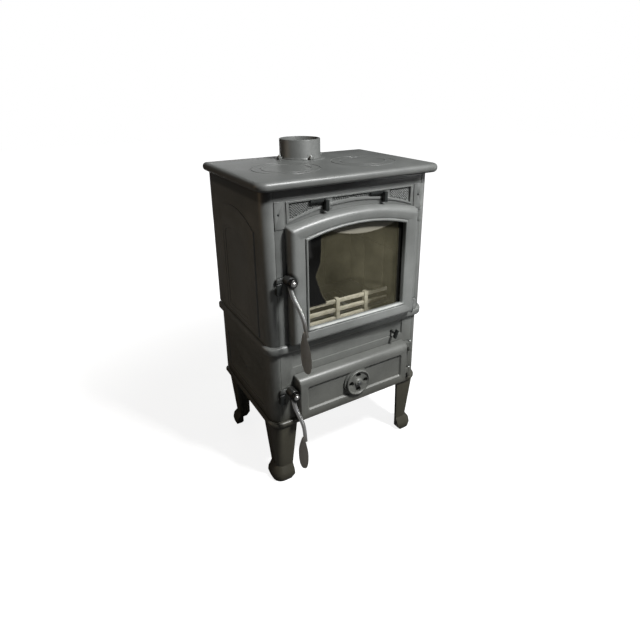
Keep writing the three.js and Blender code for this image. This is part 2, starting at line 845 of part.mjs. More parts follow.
// The handle hangs from the pivot at its own origin; the pivot runs along Y.
function buildHandle(gripTop, gripLength) {
  const reach = hubLength + gripForward;
  const hub = rod('y', hubRadius, -hubLength, 0, [0, 0], 16);
  const course = barCourse.map(([side, forward, drop]) => [side, -reach * forward, gripTop * drop]);
  const bar = bentRod(course, rodRadius, 8, 12);
  const leaf = [];
  const steps = 10;
  for (let i = 0; i <= steps; i += 1) {
    const along = i / steps;
    const half = 3.5 + (gripWidth / 2 - 3.5) * Math.sin(Math.PI * along ** 1.15) ** 0.8;
    leaf.push([half, gripTop - gripLength * along]);
  }
  const outline = [...leaf, ...leaf.map(([x, z]) => [-x, z]).reverse()];
  const grip = facing(outline, gripThickness / 2, -gripThickness / 2)
    .rotate([0, 0, -gripTurn]).translate([0, -reach, 0]);
  const bore = rod('y', boltRadius + boltClearance, -hubLength - bite, bite, [0, 0], 14);
  return cut(join(hub, bar, grip), bore);
}

// Bolt through the hub and the boss of the door, with a domed head in front.
function buildPivotBolt(bossLength) {
  const shank = rod('y', boltRadius, -hubLength - 1, bossLength + tongueThickness, [0, 0], 14);
  const dome = lathe([
    [0, hubLength + seat],
    [boltHead, hubLength + seat],
    [boltHead, hubLength + 3],
    [boltHead * 0.7, hubLength + 6],
    [0, hubLength + 7],
  ], 14).rotate([90, 0, 0]);
  return join(shank, dome);
}

// Flat tongue behind the boss, pointing away from the door.
function buildTongue(bossLength) {
  const y = bossLength + seat;
  const ring = rod('y', boltRadius + 5, y, y + tongueThickness, [0, 0], 16);
  const bar = box(-tongueLength, 0, y, y + tongueThickness, -tongueHeight / 2, tongueHeight / 2);
  const bore = rod('y', boltRadius + seat, y - bite, y + tongueThickness + bite, [0, 0], 14);
  return cut(join(ring, bar), bore);
}

// Hook on the frame just under the tongue: the tongue drops behind its lip when the handle is pressed home.
function buildKeeper(face, pivotZ, tongueFront) {
  const top = pivotZ - tongueHeight / 2 - latchClearance;
  const right = pivotX - bossRadius - 1;
  const left = right - keeperWidth;
  const front = tongueFront - latchClearance;
  const foot = box(left, right, front - keeperLip, face - seat, top - keeperDrop, top - 14);
  const lip = box(left, right, front - keeperLip, front, top - 15, top);
  return join(foot, lip);
}

// ---------------------------------------------------------------- fire door

const fireDoor = new THREE.Group();
fireDoor.position.y = upperFront;
stove.add(fireDoor);

function ring(outer, inner, y0, y1) {
  return cut(facing(outer, y0, y1), facing(inner, y0 + bite, y1 - bite));
}

function doorArch(shrink) {
  const shoulder = doorShoulder + doorDraft - shrink;
  return archOutline(doorHalf + doorDraft - shrink, doorBottom - doorDraft + shrink, shoulder, doorRise);
}

function glassArch(grow) {
  return archOutline(glassHalf + grow, glassBottom - grow, glassShoulder + grow, glassRise);
}

// Room behind the boss for the tongue, which points away from the door and swings upwards.
function tongueSpace(front, pivotZ) {
  const hub = rod('y', bossRadius + 2, front, bite, [pivotX, pivotZ], 16);
  const sweep = box(pivotX - tongueLength - 4, pivotX + tongueHeight / 2 + bite, front, bite,
    pivotZ - 17, pivotZ + tongueLength + 13);
  return join(hub, sweep);
}

// Ear with the upper half of a hinge, reaching from the door's edge to the pin.
function doorKnuckle(z, edge, back) {
  const web = box(edge - 14, hingeX, -hingeForward - 6, back, z + seat / 2, z + knuckleHeight);
  return join(web, knuckle(z, -hingeForward, true));
}

function buildFireDoor() {
  const front = -doorGap - doorThickness;
  const shell = drafted(doorArch(doorDraft), -doorGap, front, doorDraft, doorThickness / 3);
  const field = facing(doorArch(doorDraft + doorField), front + fieldDepth, front - bite);
  const bead = facing(glassArch(beadWidth), front + fieldDepth + 1, front + fieldDepth - beadHeight);
  const opening = facing(glassArch(0), 0, front - bite);
  const pocket = facing(glassArch(glassLap + pocketMargin), 0, front + doorWeb);
  const shelf = facing(glassArch(glassLap + pocketMargin + clipShelf), 0, clipFront - seat);
  const bossBack = -doorGap - tongueThickness - 2 * seat;
  const boss = rod('y', bossRadius, front, bossBack, [pivotX, firePivotZ], 16);
  const tongueWay = tongueSpace(bossBack, firePivotZ);
  const shaft = rod('y', boltRadius + boltClearance, front - bite, 1, [pivotX, firePivotZ], 14);
  const channel = ring(doorArch(doorDraft + ropeInset - 1), doorArch(doorDraft + ropeInset + ropeSize + 1),
    1, -doorGap - channelDepth);
  const edge = doorHalf + doorDraft;
  const ears = fireHingeZ.map((z) => doorKnuckle(z, edge, -doorGap - 1));
  const bores = fireHingeZ.map((z) => hingeBore(z, -hingeForward));
  const clips = clipScrewHoles(1);
  return cut(join(cut(shell, field), bead, boss, ...ears), opening, pocket, shelf, channel,
    tongueWay, shaft, ...bores, ...clips);
}

// The stack behind the web of the door: flat gasket, glass, two clamping strips and their screws.
const gasketFront = -doorGap - doorThickness + doorWeb + seat;
const glassFront = gasketFront + gasketThickness + seat;
const clipFront = glassFront + glassThickness + seat;
const clipX = glassHalf + glassLap + pocketMargin + 4;

function clipScrewHoles(side) {
  const holes = [];
  for (const z of clipScrewZ) {
    for (const hand of [-side, side]) {
      holes.push(rod('y', 2 + seat, clipFront - 7, 1, [hand * clipX, z], 8));
    }
  }
  return holes;
}

function buildClipStrip(hand) {
  const inner = glassHalf + 2;
  const outer = clipX + 4;
  const [x0, x1] = [hand * inner, hand * outer].sort((a, b) => a - b);
  const back = clipFront + clipThickness;
  const strip = box(x0, x1, clipFront, back, clipScrewZ[0] - clipWidth, clipScrewZ[1] + clipWidth);
  const holes = clipScrewZ.map((z) => {
    return rod('y', 2 + seat, clipFront - bite, back + bite, [hand * clipX, z], 8);
  });
  return cut(strip, ...holes);
}

function buildClipScrew(hand, z) {
  const back = clipFront + clipThickness + seat;
  const shank = rod('y', 2, clipFront - 6, back + 1, [hand * clipX, z], 8);
  const head = rod('y', 3.8, back, back + 2.4, [hand * clipX, z], 10);
  return join(shank, head);
}

function buildRopeSeal(outer, inner) {
  const front = -doorGap - channelDepth + seat;
  return ring(outer, inner, -seat, front);
}

fireDoor.add(meshOf('fire_door', buildFireDoor(), stovePaint));

const sealOuter = doorArch(doorDraft + ropeInset);
const sealInner = doorArch(doorDraft + ropeInset + ropeSize);
fireDoor.add(meshOf('fire_door_seal', buildRopeSeal(sealOuter, sealInner), ropeSeal));
const gasket = ring(glassArch(glassLap), glassArch(beadHeight / 2), glassFront - seat, gasketFront);
fireDoor.add(meshOf('glass_gasket', gasket, ropeSeal));
const pane = facing(glassArch(glassLap), glassFront + glassThickness, glassFront);
fireDoor.add(meshOf('door_glass', pane, stoveGlass));
for (const [side, hand] of [['left', -1], ['right', 1]]) {
  fireDoor.add(meshOf(`glass_clip_${side}`, buildClipStrip(hand), plainSteel));
  clipScrewZ.forEach((z, i) => {
    const name = `clip_screw_${side}_${hingeNames[i]}`;
    fireDoor.add(meshOf(name, buildClipScrew(hand, z), plainSteel));
  });
}

// Adds a handle with its bolt and tongue to a door; turn is the lean of the hanging handle.
function addHandle(door, prefix, pivotZ, thickness, turn, gripTop, gripLength) {
  const pivot = new THREE.Group();
  const bossLength = thickness - tongueThickness - 2 * seat;
  pivot.position.set(pivotX, -doorGap - thickness - seat, pivotZ);
  const handle = meshOf(`${prefix}_handle`, buildHandle(gripTop, gripLength), polishedSteel);
  handle.rotation.y = THREE.MathUtils.degToRad(-turn);
  pivot.add(handle);
  pivot.add(meshOf(`${prefix}_pivot_bolt`, buildPivotBolt(bossLength), polishedSteel));
  pivot.add(meshOf(`${prefix}_latch_tongue`, buildTongue(bossLength), plainSteel));
  door.add(pivot);
}

addHandle(fireDoor, 'fire', firePivotZ, doorThickness, fireHandleTurn, fireGripTop, fireGripLength);
const tongueBack = -doorGap - tongueThickness;
const fireKeeper = buildKeeper(0, firePivotZ, tongueBack);
const fireKeeperMesh = meshOf('fire_keeper', fireKeeper, controlBlack);
fireKeeperMesh.position.y = upperFront;
stove.add(fireKeeperMesh);

// ---------------------------------------------------------------- ash door

const ashDoor = new THREE.Group();
ashDoor.position.y = lowerFront;
stove.add(ashDoor);

function ashOutline(shrink) {
  const x = ashHalf - shrink;
  return [[-x, ashBottom + shrink], [x, ashBottom + shrink], [x, ashTop - shrink], [-x, ashTop - shrink]];
}

// Round openings of the air rosette, between the middle and the rim.
function vents(y0, y1) {
  const holes = [];
  for (let i = 0; i < ventCount; i += 1) {
    const angle = THREE.MathUtils.degToRad((360 / ventCount) * i);
    const centre = [ventCircle * Math.cos(angle), spinnerZ + ventCircle * Math.sin(angle)];
    holes.push(rod('y', ventRadius, y1, y0, centre, 14));
  }
  return holes;
}

function buildAshDoor() {
  const front = -doorGap - ashThickness;
  const shell = drafted(ashOutline(0), -doorGap, front, ashDraft, ashThickness / 2);
  const panel = box(-ashPanelHalf, ashPanelHalf, front - bite, front + ashPanelDepth,
    ashPanelBottom, ashPanelTop);
  const seatPad = rod('y', spinnerRadius + 2, front, front + ashPanelDepth + 1, [0, spinnerZ], 28);
  const inset = ropeInset + ropeSize + 6;
  const pocket = facing(ashOutline(inset), 0, -doorGap - ashThickness + ashPocket);
  const depth = tongueThickness + 2 * seat;
  const boss = rod('y', bossRadius, front, -doorGap - depth, [pivotX, ashPivotZ], 16);
  const tongueWay = tongueSpace(-doorGap - depth, ashPivotZ);
  const shaft = rod('y', boltRadius + boltClearance, front - bite, 1, [pivotX, ashPivotZ], 14);
  const axle = rod('y', 3 + pinClearance, front - bite, 1, [0, spinnerZ], 12);
  const channel = ring(ashOutline(ropeInset - 1), ashOutline(ropeInset + ropeSize + 1),
    1, -doorGap - channelDepth);
  const ears = ashHingeZ.map((z) => doorKnuckle(z, ashHalf, -doorGap - 1));
  const bores = ashHingeZ.map((z) => hingeBore(z, -hingeForward));
  return cut(join(cut(shell, panel), seatPad, boss, ...ears), pocket, channel, tongueWay,
    shaft, axle, ...vents(0, front - bite), ...bores);
}

// Turning rosette over the air holes: raised rim, flat web with openings and a domed hub.
function buildSpinner() {
  const back = -doorGap - ashThickness - seat;
  const disc = lathe([
    [0, 0],
    [spinnerRadius, 0],
    [spinnerRadius, spinnerThickness + 2],
    [spinnerRadius - 4, spinnerThickness + 3],
    [spinnerRadius - 7, spinnerThickness - 1],
    [13, spinnerThickness - 1],
    [9, spinnerThickness + 4],
    [0, spinnerThickness + 4],
  ], 28).rotate([90, 0, 0]).translate([0, back, spinnerZ]);
  const axle = rod('y', 3 + pinClearance, back - 20, back + bite, [0, spinnerZ], 12);
  return cut(disc, axle, ...vents(back + bite, back - 20));
}

function buildSpinnerBolt() {
  const front = -doorGap - ashThickness - spinnerThickness - 4 - 2 * seat;
  const shank = rod('y', 3, front - 1, -doorGap - ashThickness + ashPocket + 6, [0, spinnerZ], 12);
  const head = rod('y', 6, front - 4, front, [0, spinnerZ], 12);
  return join(shank, head);
}

ashDoor.add(meshOf('ash_door', buildAshDoor(), stovePaint));
const ashSealOuter = ashOutline(ropeInset);
const ashSealInner = ashOutline(ropeInset + ropeSize);
ashDoor.add(meshOf('ash_door_seal', buildRopeSeal(ashSealOuter, ashSealInner), ropeSeal));
ashDoor.add(meshOf('air_spinner', buildSpinner(), stovePaint));
ashDoor.add(meshOf('spinner_bolt', buildSpinnerBolt(), plainSteel));
addHandle(ashDoor, 'ash', ashPivotZ, ashThickness, ashHandleTurn, ashGripTop, ashGripLength);
const ashKeeperMesh = meshOf('ash_keeper', buildKeeper(0, ashPivotZ, tongueBack), controlBlack);
ashKeeperMesh.position.y = lowerFront;
stove.add(ashKeeperMesh);

// ---------------------------------------------------------------- air slides above the fire door

// Cranked lever in front of the plate; its stem passes the slot to the shutter behind.
function buildLever() {
  const half = leverThick / 2;
  const arm = box(0, leverArm, -12, -5, -half, half);
  const foot = box(leverArm - leverFoot, leverArm, -5 - leverForward, -5,
    half - leverThick - leverDrop, half);
  const stem = box(0, 7, -6, frontWall + seat + shutterThickness, 1.5 - half, half - 1.5);
  return join(arm, foot, stem);
}

function buildShutter() {
  const back = frontWall + seat;
  const gap = seat;
  const half = leverThick / 2 - 1.5 + gap;
  const plate = box(-shutterReach[0], shutterReach[1], back, back + shutterThickness,
    -shutterHeight / 2, shutterHeight / 2);
  return cut(plate, box(-gap, 7 + gap, back - bite, back + shutterThickness + bite, -half, half));
}

for (const [i, side] of ['left', 'right'].entries()) {
  const slide = new THREE.Group();
  slide.position.set(leverX[i], upperFront, leverZ);
  slide.add(meshOf(`air_lever_${side}`, buildLever(), controlBlack));
  slide.add(meshOf(`air_shutter_${side}`, buildShutter(), plainSteel));
  stove.add(slide);
}

// ---------------------------------------------------------------- grate and riddling rod

function buildGrate() {
  const x = grateWidth / 2;
  const y = grateDepth / 2;
  const z = floorZ - 4 + seat;
  const slab = box(-x, x, grateY - y, grateY + y, z, z + grateThickness);
  const pitch = (grateWidth - 2 * grateLedge - grateSlot) / (grateBars - 1);
  const slots = [];
  for (let i = 0; i < grateBars; i += 1) {
    const middle = -x + grateLedge + grateSlot / 2 + pitch * i;
    slots.push(box(middle - grateSlot / 2 + 2, middle + grateSlot / 2 - 2,
      grateY - y + 14, grateY + y - 14, z - bite, z + grateThickness + bite));
  }
  return cut(slab, ...slots);
}

// Rod through the lower front; its crank reaches up beside the grate's end bar.
function buildRiddlingRod() {
  const front = lowerFront - 24;
  const back = lowerFront + riddleReach;
  const bar = rod('y', riddleRadius, front, back, [rodX, rodZ], 12);
  const leverEnd = ([x, z]) => rod('y', riddleHalf, front - riddleThickness, front + 1, [rodX + x, rodZ + z], 16);
  const lever = wasm.Manifold.hull(riddleEnds.map(leverEnd));
  const armX = grateWidth / 2 - grateLedge - 12;
  const arm = box(armX, rodX + riddleRadius, back - 10, back, rodZ - riddleRadius, rodZ + riddleRadius);
  const upright = box(armX, armX + 8, back - 10, back, rodZ - riddleRadius, floorZ - 4);
  return join(bar, lever, arm, upright);
}

stove.add(meshOf('fire_grate', buildGrate(), stovePaint));
stove.add(meshOf('riddling_rod', buildRiddlingRod(), controlBlack));

// ---------------------------------------------------------------- inside the firebox and ash compartment

function buildLogGuard() {
  const bottom = floorZ + seat;
  const bars = [0, 1, 2].map((i) => {
    const z = bottom + 1.5 + guardPitch * i;
    return box(-guardHalf, guardHalf, guardY - guardDepth / 2, guardY + guardDepth / 2, z, z + guardBar);
  });
  const top = bottom + 2 * guardPitch + guardBar + 5;
  const posts = guardPosts.map((x) => box(x - guardPost / 2, x + guardPost / 2,
    guardY - guardDepth / 2 - guardPostProud, guardY + guardDepth / 2 + guardPostProud, bottom, top));
  return join(...bars, ...posts);
}

const brickBottom = floorZ + seat;
const brickTop = brickBottom + brickHeight;
const brickOuter = pocketHalfWidth - seat;
const brickBack = pocketHalfDepth - seat;

function buildSideBrick(hand) {
  const [x0, x1] = [hand * brickOuter, hand * (brickOuter - brickThickness)].sort((a, b) => a - b);
  return box(x0, x1, -brickBack + 22, brickBack, brickBottom, brickTop);
}

function buildBackBrick() {
  const x = brickOuter - brickThickness - seat;
  return box(-x, x, brickBack - brickThickness, brickBack, brickBottom, brickTop);
}

function buildBaffle() {
  const x = brickOuter - 4;
  const z = brickTop + seat;
  return box(-x, x, brickBack - baffleDepth, brickBack, z, z + baffleThickness);
}

// Tray under the grate with a turned handle plate in front.
function buildAshPan() {
  const z = baseTop - basePocket + seat;
  const y0 = -panDepth / 2;
  const y1 = panDepth / 2;
  const tray = cut(
    box(-panHalf, panHalf, y0, y1, z, z + panHeight),
    box(panWall - panHalf, panHalf - panWall, y0 + panWall, y1 - panWall,
      z + panWall, z + panHeight + bite),
  );
  const gripTopZ = z + panHeight - panGripDrop;
  const grip = box(-panGripHalf, panGripHalf, y0 - panGripReach, y0 + bite,
    gripTopZ - panGripThickness, gripTopZ);
  return join(tray, grip);
}

stove.add(meshOf('log_guard', buildLogGuard(), ashGrey));
stove.add(meshOf('brick_left', buildSideBrick(-1), fireBrick));
stove.add(meshOf('brick_right', buildSideBrick(1), fireBrick));
stove.add(meshOf('brick_back', buildBackBrick(), fireBrick));
stove.add(meshOf('baffle_plate', buildBaffle(), stovePaint));
stove.add(meshOf('ash_pan', buildAshPan(), plainSteel));

// The stove stands with the middle of its overall depth, handles included, over the origin.
const reach = new THREE.Box3().setFromObject(stove);
stove.position.y = -(reach.min.y + reach.max.y) / 2;
stove.updateMatrixWorld(true);

export default stove;
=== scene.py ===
import math
import bpy
import bmesh
from mathutils import Matrix, Vector


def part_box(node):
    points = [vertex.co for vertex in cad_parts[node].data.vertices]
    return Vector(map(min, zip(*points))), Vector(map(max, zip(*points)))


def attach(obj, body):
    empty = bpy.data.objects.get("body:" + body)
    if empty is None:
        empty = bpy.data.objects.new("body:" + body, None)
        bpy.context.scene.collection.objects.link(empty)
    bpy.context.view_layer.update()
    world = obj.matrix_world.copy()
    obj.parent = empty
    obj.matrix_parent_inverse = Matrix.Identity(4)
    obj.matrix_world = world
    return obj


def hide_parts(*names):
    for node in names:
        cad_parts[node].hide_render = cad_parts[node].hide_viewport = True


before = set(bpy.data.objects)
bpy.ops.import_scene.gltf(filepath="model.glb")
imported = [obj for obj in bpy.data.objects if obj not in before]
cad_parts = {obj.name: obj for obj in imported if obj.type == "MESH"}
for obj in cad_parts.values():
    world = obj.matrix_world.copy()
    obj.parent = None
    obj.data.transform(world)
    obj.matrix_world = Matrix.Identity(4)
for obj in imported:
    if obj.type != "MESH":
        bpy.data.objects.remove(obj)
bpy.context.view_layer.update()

print("stove: frame loaded with", len(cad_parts), "nodes")

mm = 0.001
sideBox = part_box("left_side")
middleY = (sideBox[0][1] + sideBox[1][1]) / 2    # middle of the body's depth, behind the doors and handles
stoveCollection = bpy.context.scene.collection
pivots = {"fire": (-199, 621), "ash": (-199, 302)}    # X and Z of the handles' pivots on the doors


def at(x, y, z):    # millimetres from the middle of the body at floor level, to metres in the frame
    return Vector((x * mm, y * mm + middleY, z * mm))


# outlines and meshes

def filleted(points, radii, steps=5):    # rounds the corners of a flat outline; radii is {index: radius}
    result = []
    for index, (u, v) in enumerate(points):
        radius = radii.get(index, 0)
        if radius <= 0:
            result.append((u, v))
            continue
        corner = Vector((u, v))
        before = (Vector(points[index - 1]) - corner).normalized()
        after = (Vector(points[(index + 1) % len(points)]) - corner).normalized()
        halfAngle = before.angle(after) / 2
        centre = corner + (before + after).normalized() * radius / math.sin(halfAngle)
        start = corner + before * radius / math.tan(halfAngle) - centre
        end = corner + after * radius / math.tan(halfAngle) - centre
        first = math.atan2(start.y, start.x)
        turn = math.atan2(end.y, end.x) - first
        turn = (turn + math.pi) % (2 * math.pi) - math.pi
        for step in range(steps + 1):
            angle = first + turn * step / steps
            result.append((centre.x + radius * math.cos(angle), centre.y + radius * math.sin(angle)))
    return result


def archPath(half, bottom, shoulder, rise, corner, archSteps=36):    # a rectangle with an arched top
    radius = (half * half + rise * rise) / (2 * rise)
    spread = math.asin(half / radius)
    points = [(-half, bottom), (half, bottom)]
    for step in range(archSteps + 1):
        angle = math.pi / 2 - spread + 2 * spread * step / archSteps
        points.append((radius * math.cos(angle), shoulder + rise - radius + radius * math.sin(angle)))
    return filleted(points, {index: corner for index in (0, 1, 2, len(points) - 1)})


def rectanglePath(x0, x1, z0, z1, corner, cornerSteps):
    points = [(x0, z0), (x1, z0), (x1, z1), (x0, z1)]
    return filleted(points, {index: corner for index in range(4)}, cornerSteps)


def circlePath(cx, cy, radius, sides):
    turn = 2 * math.pi / sides
    return [(cx + radius * math.cos(turn * step), cy + radius * math.sin(turn * step)) for step in range(sides)]


def facing(path, y):    # an outline in X and Z, standing at depth y
    return [at(x, y, z) for x, z in path]


def lying(path, z):    # an outline in X and Y, lying at height z
    return [at(x, y, z) for x, y in path]


def meshFrom(name, verts, faces):
    mesh = bpy.data.meshes.new(name)
    mesh.from_pydata([tuple(v) for v in verts], [], faces)
    mesh.update()
    return mesh


def linked(name, mesh):
    piece = bpy.data.objects.new(name, mesh)
    stoveCollection.objects.link(piece)
    return piece


def outwards(mesh):    # merges doubles, then turns every face outwards
    work = bmesh.new()
    work.from_mesh(mesh)
    bmesh.ops.remove_doubles(work, verts=work.verts, dist=1e-6)
    bmesh.ops.recalc_face_normals(work, faces=work.faces)
    work.to_mesh(mesh)
    work.free()
    return mesh


def loft(name, rings, wrap=False, cap=True):    # skin through closed rings that have equal point counts
    count = len(rings[0])
    faces = []
    for i in range(len(rings) if wrap else len(rings) - 1):
        j = (i + 1) % len(rings)
        for k in range(count):
            n = (k + 1) % count
            faces.append((i * count + k, i * count + n, j * count + n, j * count + k))
    if cap and not wrap:
        faces.append(tuple(reversed(range(count))))
        faces.append(tuple((len(rings) - 1) * count + k for k in range(count)))
    return linked(name, outwards(meshFrom(name, [p for ring in rings for p in ring], faces)))


def lathed(name, profile, axis, centre, sides, closed=True):    # profile is (radius, distance along axis)
    rings = []
    for radius, along in profile:
        path = circlePath(0, 0, max(radius, 0.001), sides)
        if axis == "z":
            rings.append([at(centre[0] + x, centre[1] + y, centre[2] + along) for x, y in path])
        else:
            rings.append([at(centre[0] + x, centre[1] + along, centre[2] + y) for x, y in path])
    return loft(name, rings, wrap=closed, cap=not closed)


def dowel(name, place, rounds, face=0, sides=48):    # round piece from front to back; rounds are (radius, depth)
    return loft(name, [facing(circlePath(*place, radius, sides), face + depth) for radius, depth in rounds])


def block(name, x0, x1, y0, y1, z0, z1):    # a box used as a cutter or as the core of a bevelled piece
    path = [(x0, y0), (x1, y0), (x1, y1), (x0, y1)]
    return loft(name, [lying(path, z0), lying(path, z1)])


def bent(name, points, radii, sides):    # round bar through points, with a radius at each
    path = [at(*p) for p in points]
    rings = []
    side = Vector((1, 0, 0))
    for index, point in enumerate(path):
        ahead = path[min(index + 1, len(path) - 1)] - path[max(index - 1, 0)]
        ahead.normalize()
        across = (side - ahead * side.dot(ahead)).normalized()
        up = ahead.cross(across)
        ring = []
        for x, y in circlePath(0, 0, radii[index] * mm, sides):
            ring.append(point + across * x + up * y)
        rings.append(ring)
    return loft(name, rings)


def smoothCurve(points, steps):    # a soft curve through points, in steps between each two
    rows = [Vector(p) for p in points]
    rows = [2 * rows[0] - rows[1]] + rows + [2 * rows[-1] - rows[-2]]
    result = []
    for i in range(1, len(rows) - 2):
        for s in range(steps):
            t = s / steps
            a, b, c, d = rows[i - 1], rows[i], rows[i + 1], rows[i + 2]
            result.append(0.5 * (2 * b + (c - a) * t + (2 * a - 5 * b + 4 * c - d) * t * t
                                 + (3 * b - a - 3 * c + d) * t ** 3))
    result.append(rows[-2])
    return result


def applied(piece):    # bakes the modifiers into a plain mesh
    bpy.context.view_layer.update()
    evaluated = piece.evaluated_get(bpy.context.evaluated_depsgraph_get())
    mesh = bpy.data.meshes.new_from_object(evaluated)
    piece.modifiers.clear()
    old = piece.data
    piece.data = mesh
    mesh.name = piece.name
    bpy.data.meshes.remove(old)
    return piece


def carved(piece, *tools, join=False):    # exact booleans; the tools are used up
    for tool in tools:
        change = piece.modifiers.new("change", "BOOLEAN")
        change.operation = "UNION" if join else "DIFFERENCE"
        change.solver = "EXACT"
        change.object = tool
    applied(piece)
    for tool in tools:
        bpy.data.objects.remove(tool)
    return piece


def tidied(piece, angle=0.6):    # clears the extra edges that booleans and triangles leave on flat faces
    work = bmesh.new()
    work.from_mesh(piece.data)
    bmesh.ops.remove_doubles(work, verts=work.verts, dist=2e-6)
    bmesh.ops.dissolve_limit(work, angle_limit=math.radians(angle), verts=work.verts, edges=work.edges)
    bmesh.ops.recalc_face_normals(work, faces=work.faces)
    work.to_mesh(piece.data)
    work.free()
    return piece


def eased(piece, width, segments=2, angle=34):    # rounds the edges as a casting's are
    bevel = piece.modifiers.new("ease", "BEVEL")
    bevel.width = width * mm
    bevel.segments = segments
    bevel.limit_method = "ANGLE"
    bevel.angle_limit = math.radians(angle)
    bevel.use_clamp_overlap = True
    bevel.miter_outer = "MITER_ARC"
    return applied(piece)


def softShaded(piece, angle):    # smooth faces, with sharp edges over the angle in degrees
    mesh = piece.data
    mesh.polygons.foreach_set("use_smooth", [True] * len(mesh.polygons))
    mesh.set_sharp_from_angle(angle=math.radians(angle))
    mesh.update()
    return piece


def copied(node, name):    # a merged copy of a CAD node's mesh, free to be bevelled
    piece = linked(name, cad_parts[node].data.copy())
    piece.data.materials.clear()
    return tidied(piece)


def seated(piece, body, slotName, *nodes, angle=38):    # shading, finish, body and the nodes it stands for
    softShaded(piece, angle)
    piece.name = piece.name.replace(" ", "-")
    piece.data.materials.clear()
    piece.data.materials.append(finishes[slotName])
    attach(piece, body)
    if nodes:
        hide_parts(*nodes)
    return piece


# finishes

def linear(hexColor):    # sRGB hex to linear, opaque
    parts = [int(hexColor[i:i + 2], 16) / 255 for i in (1, 3, 5)]
    return tuple(c / 12.92 if c <= 0.04045 else ((c + 0.055) / 1.055) ** 2.4 for c in parts) + (1.0,)


def addNode(tree, kind, inputs=None, stops=(), **settings):    # inputs: values, sockets or nodes (their first output)
    node = tree.nodes.new(kind)
    for key, value in settings.items():
        setattr(node, key, value)
    while stops and len(node.color_ramp.elements) < len(stops):
        node.color_ramp.elements.new(0.5)
    for index, (position, color) in enumerate(stops):    # a colour in hex or linear
        node.color_ramp.elements[index].position = position
        node.color_ramp.elements[index].color = linear(color) if isinstance(color, str) else color
    for key, value in (inputs or {}).items():
        if isinstance(value, bpy.types.Node):
            value = value.outputs[0]
        if isinstance(value, bpy.types.NodeSocket):
            tree.links.new(value, node.inputs[key])
        else:
            node.inputs[key].default_value = value
    return node


def newMaterial(name):    # an empty material, its tree and the piece's own coordinates
    material = bpy.data.materials.new(name)
    material.use_nodes = True
    tree = material.node_tree
    tree.nodes.clear()
    return material, tree, addNode(tree, "ShaderNodeTexCoord").outputs["Object"]


def surfaced(material, inputs):    # ends a material in one surface shader
    shader = addNode(material.node_tree, "ShaderNodeBsdfPrincipled", inputs)
    addNode(material.node_tree, "ShaderNodeOutputMaterial", {"Surface": shader})
    return material


def castPaint(name, look):    # heat-resistant paint sprayed thinly on sand-cast iron: soft satin with a fine grain
    material, tree, place = newMaterial(name)
    broad = addNode(tree, "ShaderNodeTexNoise",
                    {"Vector": place, "Scale": 1000 / look["patchMm"], "Detail": 5.0, "Roughness": 0.62})
    grain = addNode(tree, "ShaderNodeTexNoise",
                    {"Vector": place, "Scale": 1000 / look["grainMm"], "Detail": 3.0, "Roughness": 0.6})
    pits = addNode(tree, "ShaderNodeTexVoronoi", {"Vector": place, "Scale": 1000 / (look["grainMm"] * 3.2)})
    tone = addNode(tree, "ShaderNodeValToRGB", {"Fac": broad},
                   stops=[(0.3, look["low"]), (0.52, look["paint"]), (0.74, look["high"])])
    speck = addNode(tree, "ShaderNodeMath", {0: grain, 1: 0.5}, operation="SUBTRACT")
    speck = addNode(tree, "ShaderNodeMath", {0: speck, 1: look["speckle"], 2: 1.0}, operation="MULTIPLY_ADD")
    tone = addNode(tree, "ShaderNodeVectorMath", {0: tone, "Scale": speck}, operation="SCALE")
    if "shadeByHeight" in look:    # painted shade by height, with a browner tone low down: darker on the legs and lower front, a painted shadow from above the door up under the top plate's overhang, the top plate and collar a little darker
        height = addNode(tree, "ShaderNodeSeparateXYZ", {"Vector": place}).outputs["Z"]
        heightShade = addNode(tree, "ShaderNodeValToRGB", {"Fac": height}, stops=look["shadeByHeight"])
        tone = addNode(tree, "ShaderNodeVectorMath", {0: tone, 1: heightShade}, operation="MULTIPLY")
    if "sillHighlight" in look:    # painted highlight on the sill under the glass: lighter in one long box
        centre, half = look["sillHighlight"]
        off = addNode(tree, "ShaderNodeVectorMath", {0: place, 1: at(*centre)}, operation="SUBTRACT")
        off = addNode(tree, "ShaderNodeVectorMath", {0: off}, operation="ABSOLUTE")
        off = addNode(tree, "ShaderNodeVectorMath", {0: off, 1: [size * mm for size in half]}, operation="DIVIDE")
        sides = addNode(tree, "ShaderNodeSeparateXYZ", {"Vector": off}).outputs
        most = addNode(tree, "ShaderNodeMath", {0: sides["Y"], 1: sides["Z"]}, operation="MAXIMUM")
        most = addNode(tree, "ShaderNodeMath", {0: most, 1: sides["X"]}, operation="MAXIMUM")
        highlightShare = addNode(tree, "ShaderNodeMapRange", {"Value": most, "From Min": 0.8, "From Max": 1.0,
                                                      "To Min": look["sillHighlightGain"], "To Max": 1.0})
        tone = addNode(tree, "ShaderNodeVectorMath", {0: tone, "Scale": highlightShare}, operation="SCALE")
    for door, depth in look.get("bossShade", {}).items():    # painted shade: darkened round each latch boss
        boss = at(pivots[door][0], depth, pivots[door][1])
        away = addNode(tree, "ShaderNodeVectorMath", {0: place, 1: boss}, operation="DISTANCE")
        outsideShade = addNode(tree, "ShaderNodeMapRange", {"Value": away.outputs["Value"], "From Min": 17 * mm,
                                                     "From Max": 24 * mm, "To Min": 0.12, "To Max": 1.0})
        tone = addNode(tree, "ShaderNodeVectorMath", {0: tone, "Scale": outsideShade}, operation="SCALE")
    rough = addNode(tree, "ShaderNodeMapRange", {"Value": broad, "From Min": 0.25, "From Max": 0.75,
                                                 "To Min": look["rough"] - 0.05, "To Max": look["rough"] + 0.07})
    relief = addNode(tree, "ShaderNodeMath", {0: pits, 1: 0.35, 2: grain}, operation="MULTIPLY_ADD")
    bump = addNode(tree, "ShaderNodeBump", {"Height": relief, "Strength": look["bump"],
                                            "Distance": look["bumpMm"] * mm})
    return surfaced(material, {"Base Color": tone, "Roughness": rough, "Normal": bump,
                               "Specular IOR Level": look["specular"]})


